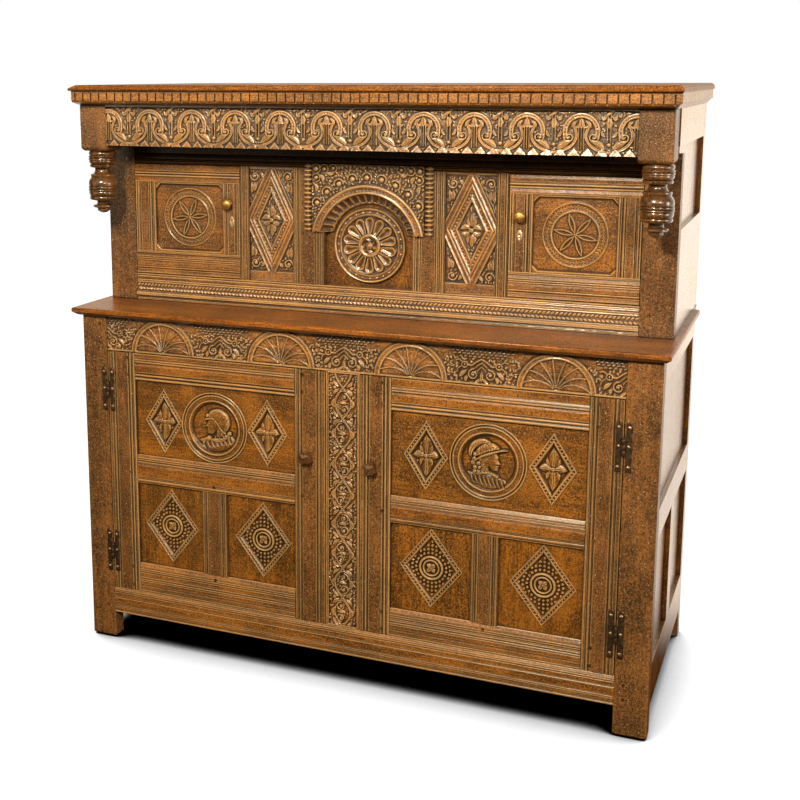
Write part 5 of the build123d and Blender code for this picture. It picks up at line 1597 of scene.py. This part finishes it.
def rosette():
    """A turned rosette: fourteen hollowed petals round a boss, inside a pinned ring."""
    _, depth, _ = spans("rosette")
    reach = np.linspace(0.4, ROSETTE_RADIUS, 130)[:, None]
    turns = np.linspace(0, 2 * np.pi, 504, endpoint=False)[None, :]
    board = Board.mapped(ROSETTE_CENTRE[0] + reach * np.cos(-turns),
                         ROSETTE_CENTRE[1] + reach * np.sin(-turns), closed=True)
    petals = 14
    sector = (turns * petals / (2 * np.pi)) % 1.0 - 0.5
    profile = np.interp(reach, [0, 3, 8, 11, 18, 22, 25.5, 29, 31, 70, 74, 77.5, 80, 88, 90.5, 93, 95],
                        [16, 15.4, 12.0, 7.4, 7.6, 11.6, 13.0, 11.6, 5.0, 5.0, 6.2, 10.4, 7.6, 7.6, 11.2,
                         12.4, 9.0])
    h = np.repeat(profile, board.x.shape[1], axis=1)
    # a petal: a shaft that widens into a round bulb, with a rolled rim and a hollow within
    bulb = 0.97 * 59.0 * math.pi / petals
    off = np.abs(reach * sector * 2 * np.pi / petals)
    shaft = 5.4 + (bulb - 5.4) * np.clip((reach - 31) / (59.0 - 31), 0, 1) - off
    inside = np.where(reach < 59.0, shaft, bulb - np.hypot(reach - 59.0, off))
    inside = np.minimum(inside, (reach - 29.5) * np.ones_like(off))
    rim = 5.0 + 6.4 * np.sqrt(np.clip(1 - np.clip(1 - inside / 2.4, 0, 1) ** 2, 0, 1))
    hollow = 4.2 * (1 - (1 - np.clip((inside - 1.4) / 10.5, 0, 1)) ** 2)
    h = np.where((reach > 30) & (reach < 74) & (inside > 0), np.maximum(h, rim - hollow), h)
    swirl = 1.3 * np.cos(5 * turns + reach * 0.25) * smooth((reach - 8) / 3) * smooth((22 - reach) / 3)
    board.h = h + swirl - 10.0
    for index in range(28):
        angle = 2 * math.pi * index / 28
        place = (ROSETTE_CENTRE[0] + 84 * math.cos(angle), ROSETTE_CENTRE[1] + 84 * math.sin(angle))
        near, dx, dz = board.around(place, 3)
        board.h[near] += 1.8 * np.sqrt(np.clip(1 - (dx ** 2 + dz ** 2) / 6.2, 0, 1))
    carve(board, depth[1] - 10.0, depth[1], 0.7, "rosette_carving", "carved", "oak_carved",
          nodes=["rosette"])


def niche_panel():
    rng = np.random.default_rng(40)
    across, depth, up = spans("niche_panel")
    board = Board(across, up, 3.0)
    board.waver(rng, 30.0, 0.2)
    carve(board, depth[0], depth[1], 6.4, "niche_board", "upright_panel", "oak_panel", nodes=["niche_panel"])


def spools():
    """Bobbin strips each side of the arch: thin rungs turned between deep necks."""
    across, depth, up = spans("spool_strips")
    count, steps = 15, np.linspace(0, 1, 14, endpoint=False)
    solid = Solid()
    pitch = length(up) / count
    radius = 12.0
    rung = 0.44 + 0.54 * np.sqrt(np.clip(1 - ((steps - 0.5) / 0.33) ** 2, 0, 1))
    heights = np.append(up[0] + (np.arange(count)[:, None] + steps).ravel() * pitch, up[1])
    widths = np.append(np.tile(radius * rung, count), radius * 0.44)
    for centre in (across[0] + radius, across[1] - radius):
        turns = np.linspace(np.pi, 0, 22)
        x = centre + widths[:, None] * np.cos(turns)
        board = Board.mapped(x, np.repeat(heights[:, None], 22, axis=1))
        board.h = widths[:, None] * np.sin(turns)
        solid.board(board, depth[1], depth[1] + 0.02, plank=2.9)
    solid.make("spool_turnings", "spool", "oak_turned", nodes=["spool_strips"], angle=60)


arch_board()
arch_reveal()
rosette()
niche_panel()
spools()


# ------------------------------------------------------------------ pendants and knobs
# the pendant's turning: radius and distance below the block, in millimetres
PENDANT = [
    (31.0, 0.0), (33.5, 2.5), (35.0, 6.0), (34.8, 9.0), (33.4, 11.5), (33.4, 12.4),
    (35.2, 13.0), (36.0, 15.0), (35.4, 17.2), (33.8, 18.4), (35.4, 19.4), (36.0, 21.5), (35.6, 23.6),
    (34.2, 24.6), (34.9, 28.0), (33.6, 31.5), (31.4, 34.0), (29.4, 35.0), (31.6, 35.6), (33.0, 37.4),
    (33.0, 40.0), (31.6, 42.6), (25.0, 44.2), (21.2, 45.4), (19.9, 48.5), (19.9, 51.5), (21.6, 55.5),
    (24.8, 59.4), (30.2, 60.4), (31.6, 62.0), (31.8, 64.6), (31.2, 67.4), (30.4, 69.4), (31.6, 70.8),
    (34.6, 75.0), (36.8, 80.0), (37.5, 85.0), (37.0, 91.0), (35.8, 92.6), (37.6, 93.6), (38.2, 95.5),
    (37.6, 98.0), (36.0, 99.2), (37.6, 100.2), (38.2, 102.0), (37.6, 104.2), (36.0, 105.6),
    (36.8, 108.0), (36.6, 113.0), (35.2, 116.6), (33.2, 118.8), (34.8, 119.6), (35.5, 121.6),
    (35.3, 125.0), (33.6, 127.4), (26.0, 129.6), (18.2, 131.4), (16.6, 133.6), (16.4, 137.0),
    (18.6, 140.2), (25.4, 141.4), (27.2, 143.2), (27.4, 145.6), (25.0, 148.2), (17.6, 149.6),
    (16.2, 151.2), (16.6, 154.0), (15.6, 157.0), (12.2, 159.6), (8.0, 162.0), (4.0, 163.2),
]


def pendants():
    across, depth, up = spans("pendants")
    radius = length(depth) / 2
    profile = [(0.0, up[0])] + [(r, up[1] - down) for r, down in PENDANT[::-1]] + [(0.0, up[1])]
    solid = Solid()
    for place, plank in ((across[0] + radius, 2.0), (across[1] - radius, 4.0)):
        solid.lathe(profile, (place, middle(depth), 0), "z", 72, plank=plank)
    solid.make("pendant_turnings", "turned", "oak_turned", nodes=["pendants"], angle=32)


# radius and distance along the axis from the base
KNOB = [(0, 0), (10.0, 0.0), (10.4, 1.0), (9.6, 2.2), (6.6, 3.6), (5.6, 6.0), (6.4, 8.0), (10.8, 10.0),
        (13.6, 12.8), (14.2, 15.5), (13.0, 19.0), (10.0, 21.8), (5.6, 23.4), (2.0, 24.0), (0, 24.0)]


def upper_knobs():
    for name in UPPER_DOORS:
        body = f"upper_{name}_door"
        across, depth, up = spans(f"{body}_knob")
        solid = Solid()
        solid.lathe(KNOB, (middle(across), depth[1], middle(up)), "y", 40)
        solid.make(f"{body}_turned_knob", "brass", "brass", body, [f"{body}_knob"], angle=60)


pendants()
upper_knobs()


# ------------------------------------------------------------------ hinges
def hinge_leaf(solid, x, z, front, thick):
    """A forged leaf with round ends, waisted behind each nail."""
    board = Board(x, z, 0.9)
    middle_x, middle_z = middle(x), middle(z)
    half = (length(x) / 2, length(z) / 2)
    across, along = board.x - middle_x, np.abs(board.z - middle_z)
    wide = half[0] * (0.84 + 0.16 * np.cos(2 * np.pi * along / 24.0))
    past = np.maximum(along - half[1] + half[0], 0)
    inside = np.minimum(wide - np.abs(across), half[0] - np.hypot(across, past))
    board.h = -(thick - 0.5) * (1 - smooth((inside + 0.6) / 1.6))
    solid.board(board, front, front + thick - 0.3)


HINGE_LEVELS = {"left": (708.0, 256.0), "right": (703.0, 253.0)}
LEAF_HALF, LEAF_WIDE, LEAF_THICK = 59.0, 14.0, 2.5
LEAF_FRONT = BASE_FACE - LEAF_THICK
PIN_GAP = 4.6                       # from the pin's axis to the leaf
PIN_OUT = 0.75                      # from the door's edge to the pin's axis
KNUCKLE_HALF = 20.0
NAILS = (-46.0, 2.0, 47.0)
NAIL = [(0, 0), (4.6, 0.0), (4.4, 1.0), (3.2, 2.2), (1.6, 2.8), (0, 3.0)]


def hinge_side(irons, nails, axis_x, direction, level, knuckles, rng):
    """One side of an H hinge: its leaf, its nails and its knuckles round the pin."""
    inner = axis_x + direction * PIN_GAP
    span = tuple(sorted((inner, inner + direction * LEAF_WIDE)))
    hinge_leaf(irons, span, (level - LEAF_HALF, level + LEAF_HALF), LEAF_FRONT, LEAF_THICK)
    for offset in NAILS:
        place = (middle(span) + rng.uniform(-0.8, 0.8), LEAF_FRONT + 0.2, level + offset)
        nails.lathe(NAIL, place, "y", 14)
    for low, high in knuckles:
        irons.lathe([(0, level + low + 0.3), (3.9, level + low + 0.3), (4.2, level + low + 0.9),
                     (4.2, level + high - 0.9), (3.9, level + high - 0.3), (0, level + high - 0.3)],
                    (axis_x, BASE_FACE - 5.0, 0), "z", 20)
        irons.box(tuple(sorted((axis_x + direction * 2.5, inner + direction * 2.0))),
                  (BASE_FACE - 2.6, BASE_FACE - 0.4), (level + low + 0.4, level + high - 0.4))


def lower_hinges():
    """The stile's leaf has the end knuckles, and the door's leaf the middle one."""
    rng = np.random.default_rng(70)
    inner = KNUCKLE_HALF / 3
    ends = ((-KNUCKLE_HALF, -inner), (inner, KNUCKLE_HALF))
    fixed, fixed_nails = Solid(), Solid()
    doors = []
    for name, side in (("left", -1), ("right", 1)):
        irons, nails = Solid(), Solid()
        door_x = spans(f"{name}_door_frame")[0]
        axis_x = door_x[0] - PIN_OUT if side < 0 else door_x[1] + PIN_OUT
        for level in HINGE_LEVELS[name]:
            hinge_side(fixed, fixed_nails, axis_x, side, level, ends, rng)
            hinge_side(irons, nails, axis_x, -side, level, ((-inner, inner),), rng)
        doors.append((name, irons, nails))
    fixed.make("stile_hinge_irons", "iron", "wrought_iron", nodes=["stile_hinge_leaves"])
    fixed_nails.make("stile_hinge_nails", "nail", "wrought_iron", angle=60)
    for name, irons, nails in doors:
        body = f"{name}_door"
        irons.make(f"{body}_hinge_irons", "iron", "wrought_iron", body, [f"{body}_hinge_leaves"])
        nails.make(f"{body}_hinge_nails", "nail", "wrought_iron", body, angle=60)


lower_hinges()


# ------------------------------------------------------------------ squared timbers kept from the CAD
KEPT = {
    "stile": ["base_front_stile_left", "base_front_stile_right", "upper_front_stile_left",
              "upper_front_stile_right", "corner_blocks"],
    "cornice": ["cornice"],
    "top": ["top_boards"],
    # the soffit boards take the darker copy of the oak, as painted shade
    "painted_shade": ["soffit_boards"],
    "side_rail": ["base_side_rails_left", "base_side_rails_right", "upper_side_rails"],
    "side_stile": ["base_side_panels_left", "base_side_panels_right", "upper_side_panels",
                   "base_back_stiles", "upper_back_stiles"],
    "inside": ["base_back", "base_floor_boards", "upper_back"],
    "table": ["table_board"],
    "turned": ["left_door_turn_knob", "right_door_turn_knob", "left_door_pegs", "right_door_pegs",
               "frame_pegs", "left_door_catch_tongue", "right_door_catch_tongue"],
    "iron": ["hinge_pins", "upper_left_door_bolt", "upper_right_door_bolt",
             "upper_left_door_irons", "upper_right_door_irons"],
}
EASE = {"stile": 1.8, "cornice": 1.2, "top": 1.2, "painted_shade": 0.8, "side_rail": 1.6, "side_stile": 1.2,
        "inside": 0.8, "table": 3.0, "turned": 0.6, "iron": 0.4}


def keep(node, material):
    """A CAD solid that is shown as it is, with eased edges."""
    piece = bpy.data.objects[node]
    piece.data.materials.clear()
    piece.data.materials.append(MATERIALS[material])
    weld = piece.modifiers.new("joined", "WELD")
    weld.merge_threshold = 0.00001
    soften(piece, EASE[material])


for material, nodes in KEPT.items():
    for node in nodes:
        keep(node, material)


# ------------------------------------------------------------------ stage, light and camera
WHITE = (1.0, 1.0, 1.0, 1.0)
FLOOR_REACH = 30.0


def stage_floor():
    """A white sweep: it shows white to the camera, with a painted shadow, dark only where the cupboard
    covers it.
    """
    g = Surface("floor_paper")
    rays = g.node("ShaderNodeLightPath").outputs
    place = g.node("ShaderNodeNewGeometry").outputs["Position"]
    behind = g.between(g.node("ShaderNodeSeparateXYZ", {0: place}).outputs["Y"], 0.1, 0.7)
    # painted shadow: the floor's white emission falls off where ambient occlusion finds the cupboard close
    # by
    painted_contact_shadow = g.node("ShaderNodeAmbientOcclusion", {"Distance": 0.42}, samples=48).outputs["AO"]
    seen = g.math("MAXIMUM", g.math("MULTIPLY", rays["Is Camera Ray"], g.between(painted_contact_shadow, 0.34, 0.74)),
                  g.math("MULTIPLY", rays["Is Glossy Ray"], behind))
    paper = g.mix(rays["Is Camera Ray"], (1.0, 0.86, 0.72, 1.0), WHITE)
    g.set(Base_Color=(0.0, 0.0, 0.0, 1.0), Roughness=1.0, Specular_IOR_Level=0.0,
          Emission_Color=paper, Emission_Strength=g.math("MULTIPLY", seen, 1.2))
    mesh = bpy.data.meshes.new("floor")
    corners = [(across * FLOOR_REACH, along * FLOOR_REACH, 0)
               for across, along in ((-1, -1), (1, -1), (1, 1), (-1, 1))]
    mesh.from_pydata(corners, [], [(0, 1, 2, 3)])
    mesh.materials.append(g.material)
    floor = bpy.data.objects.new("floor", mesh)
    bpy.context.scene.collection.objects.link(floor)


def sky():
    """White to the camera and in what shines from behind, a weak warm light elsewhere."""
    world = bpy.data.worlds.new("studio")
    bpy.context.scene.world = world
    world.use_nodes = True
    g = Graph(world.node_tree)
    rays = g.node("ShaderNodeLightPath").outputs
    place = g.node("ShaderNodeTexCoord").outputs["Generated"]
    behind = g.between(g.node("ShaderNodeSeparateXYZ", {0: place}).outputs["Y"], 0.1, 0.6)
    seen = g.math("MAXIMUM", rays["Is Camera Ray"], g.math("MULTIPLY", rays["Is Glossy Ray"], behind))
    strength = g.node("ShaderNodeMapRange", {"Value": seen, "To Min": 0.12, "To Max": 1.0}).outputs["Result"]
    colour = g.mix(rays["Is Camera Ray"], (1.0, 0.84, 0.64, 1.0), WHITE)
    shade = g.node("ShaderNodeBackground", {"Color": colour, "Strength": strength})
    g.node("ShaderNodeOutputWorld", {"Surface": shade.outputs[0]})


def lamp(name, place, aim, size, power, colour):
    """A square area lamp that faces a place."""
    light = bpy.data.lights.new(name, "AREA")
    light.shape = "RECTANGLE"
    light.size = light.size_y = size
    light.energy = power
    light.color = colour
    piece = bpy.data.objects.new(name, light)
    bpy.context.scene.collection.objects.link(piece)
    piece.location = place
    piece.rotation_euler = (Vector(aim) - Vector(place)).to_track_quat("-Z", "Y").to_euler()


CAMERA_PLACE = (1.06731, -3.05377, 1.52859)
CAMERA_YAW, CAMERA_PITCH, CAMERA_ROLL = 23.0, -10.267, -0.189
CAMERA_LENS, CAMERA_SHIFT = 55.88, (0.11545, -0.12481)


def camera():
    """The photograph's viewpoint: right of centre, at standing eye height, looking slightly down."""
    yaw, pitch, roll = (math.radians(a) for a in (CAMERA_YAW, CAMERA_PITCH, CAMERA_ROLL))
    forward = np.array([-math.sin(yaw) * math.cos(pitch), math.cos(yaw) * math.cos(pitch), math.sin(pitch)])
    right = np.array([math.cos(yaw), math.sin(yaw), 0.0])
    up = np.cross(right, forward)
    rolled_right = right * math.cos(roll) + up * math.sin(roll)
    rolled_up = up * math.cos(roll) - right * math.sin(roll)
    data = bpy.data.cameras.new("camera")
    data.sensor_width = 36.0
    data.lens = CAMERA_LENS
    data.shift_x, data.shift_y = CAMERA_SHIFT
    made = bpy.data.objects.new("camera", data)
    bpy.context.scene.collection.objects.link(made)
    made.matrix_world = Matrix([(*rolled_right, 0.0), (*rolled_up, 0.0), (*-forward, 0.0),
                                (*CAMERA_PLACE, 1.0)]).transposed()
    bpy.context.scene.camera = made


stage_floor()
sky()
lamp("key", (0.05, -2.9, 2.57), (0.0, -0.2, 0.8), 0.4, 117, (1.0, 0.86, 0.62))
lamp("kicker", (2.3, -3.0, 2.3), (0.0, -0.2, 0.9), 0.3, 54, (1.0, 0.88, 0.68))
lamp("fill", (-2.8, -3.6, 1.4), (0.0, -0.2, 0.8), 1.8, 14, (1.0, 0.84, 0.62))
lamp("card", (2.2, 3.4, 1.3), (0.8, 0.0, 0.8), 2.6, 12, (1.0, 0.88, 0.72))
lamp("right", (4.2, -0.6, 1.4), (0.75, 0.0, 0.6), 1.2, 58, (1.0, 0.86, 0.72))
camera()

bpy.context.scene.view_settings.view_transform = "Standard"
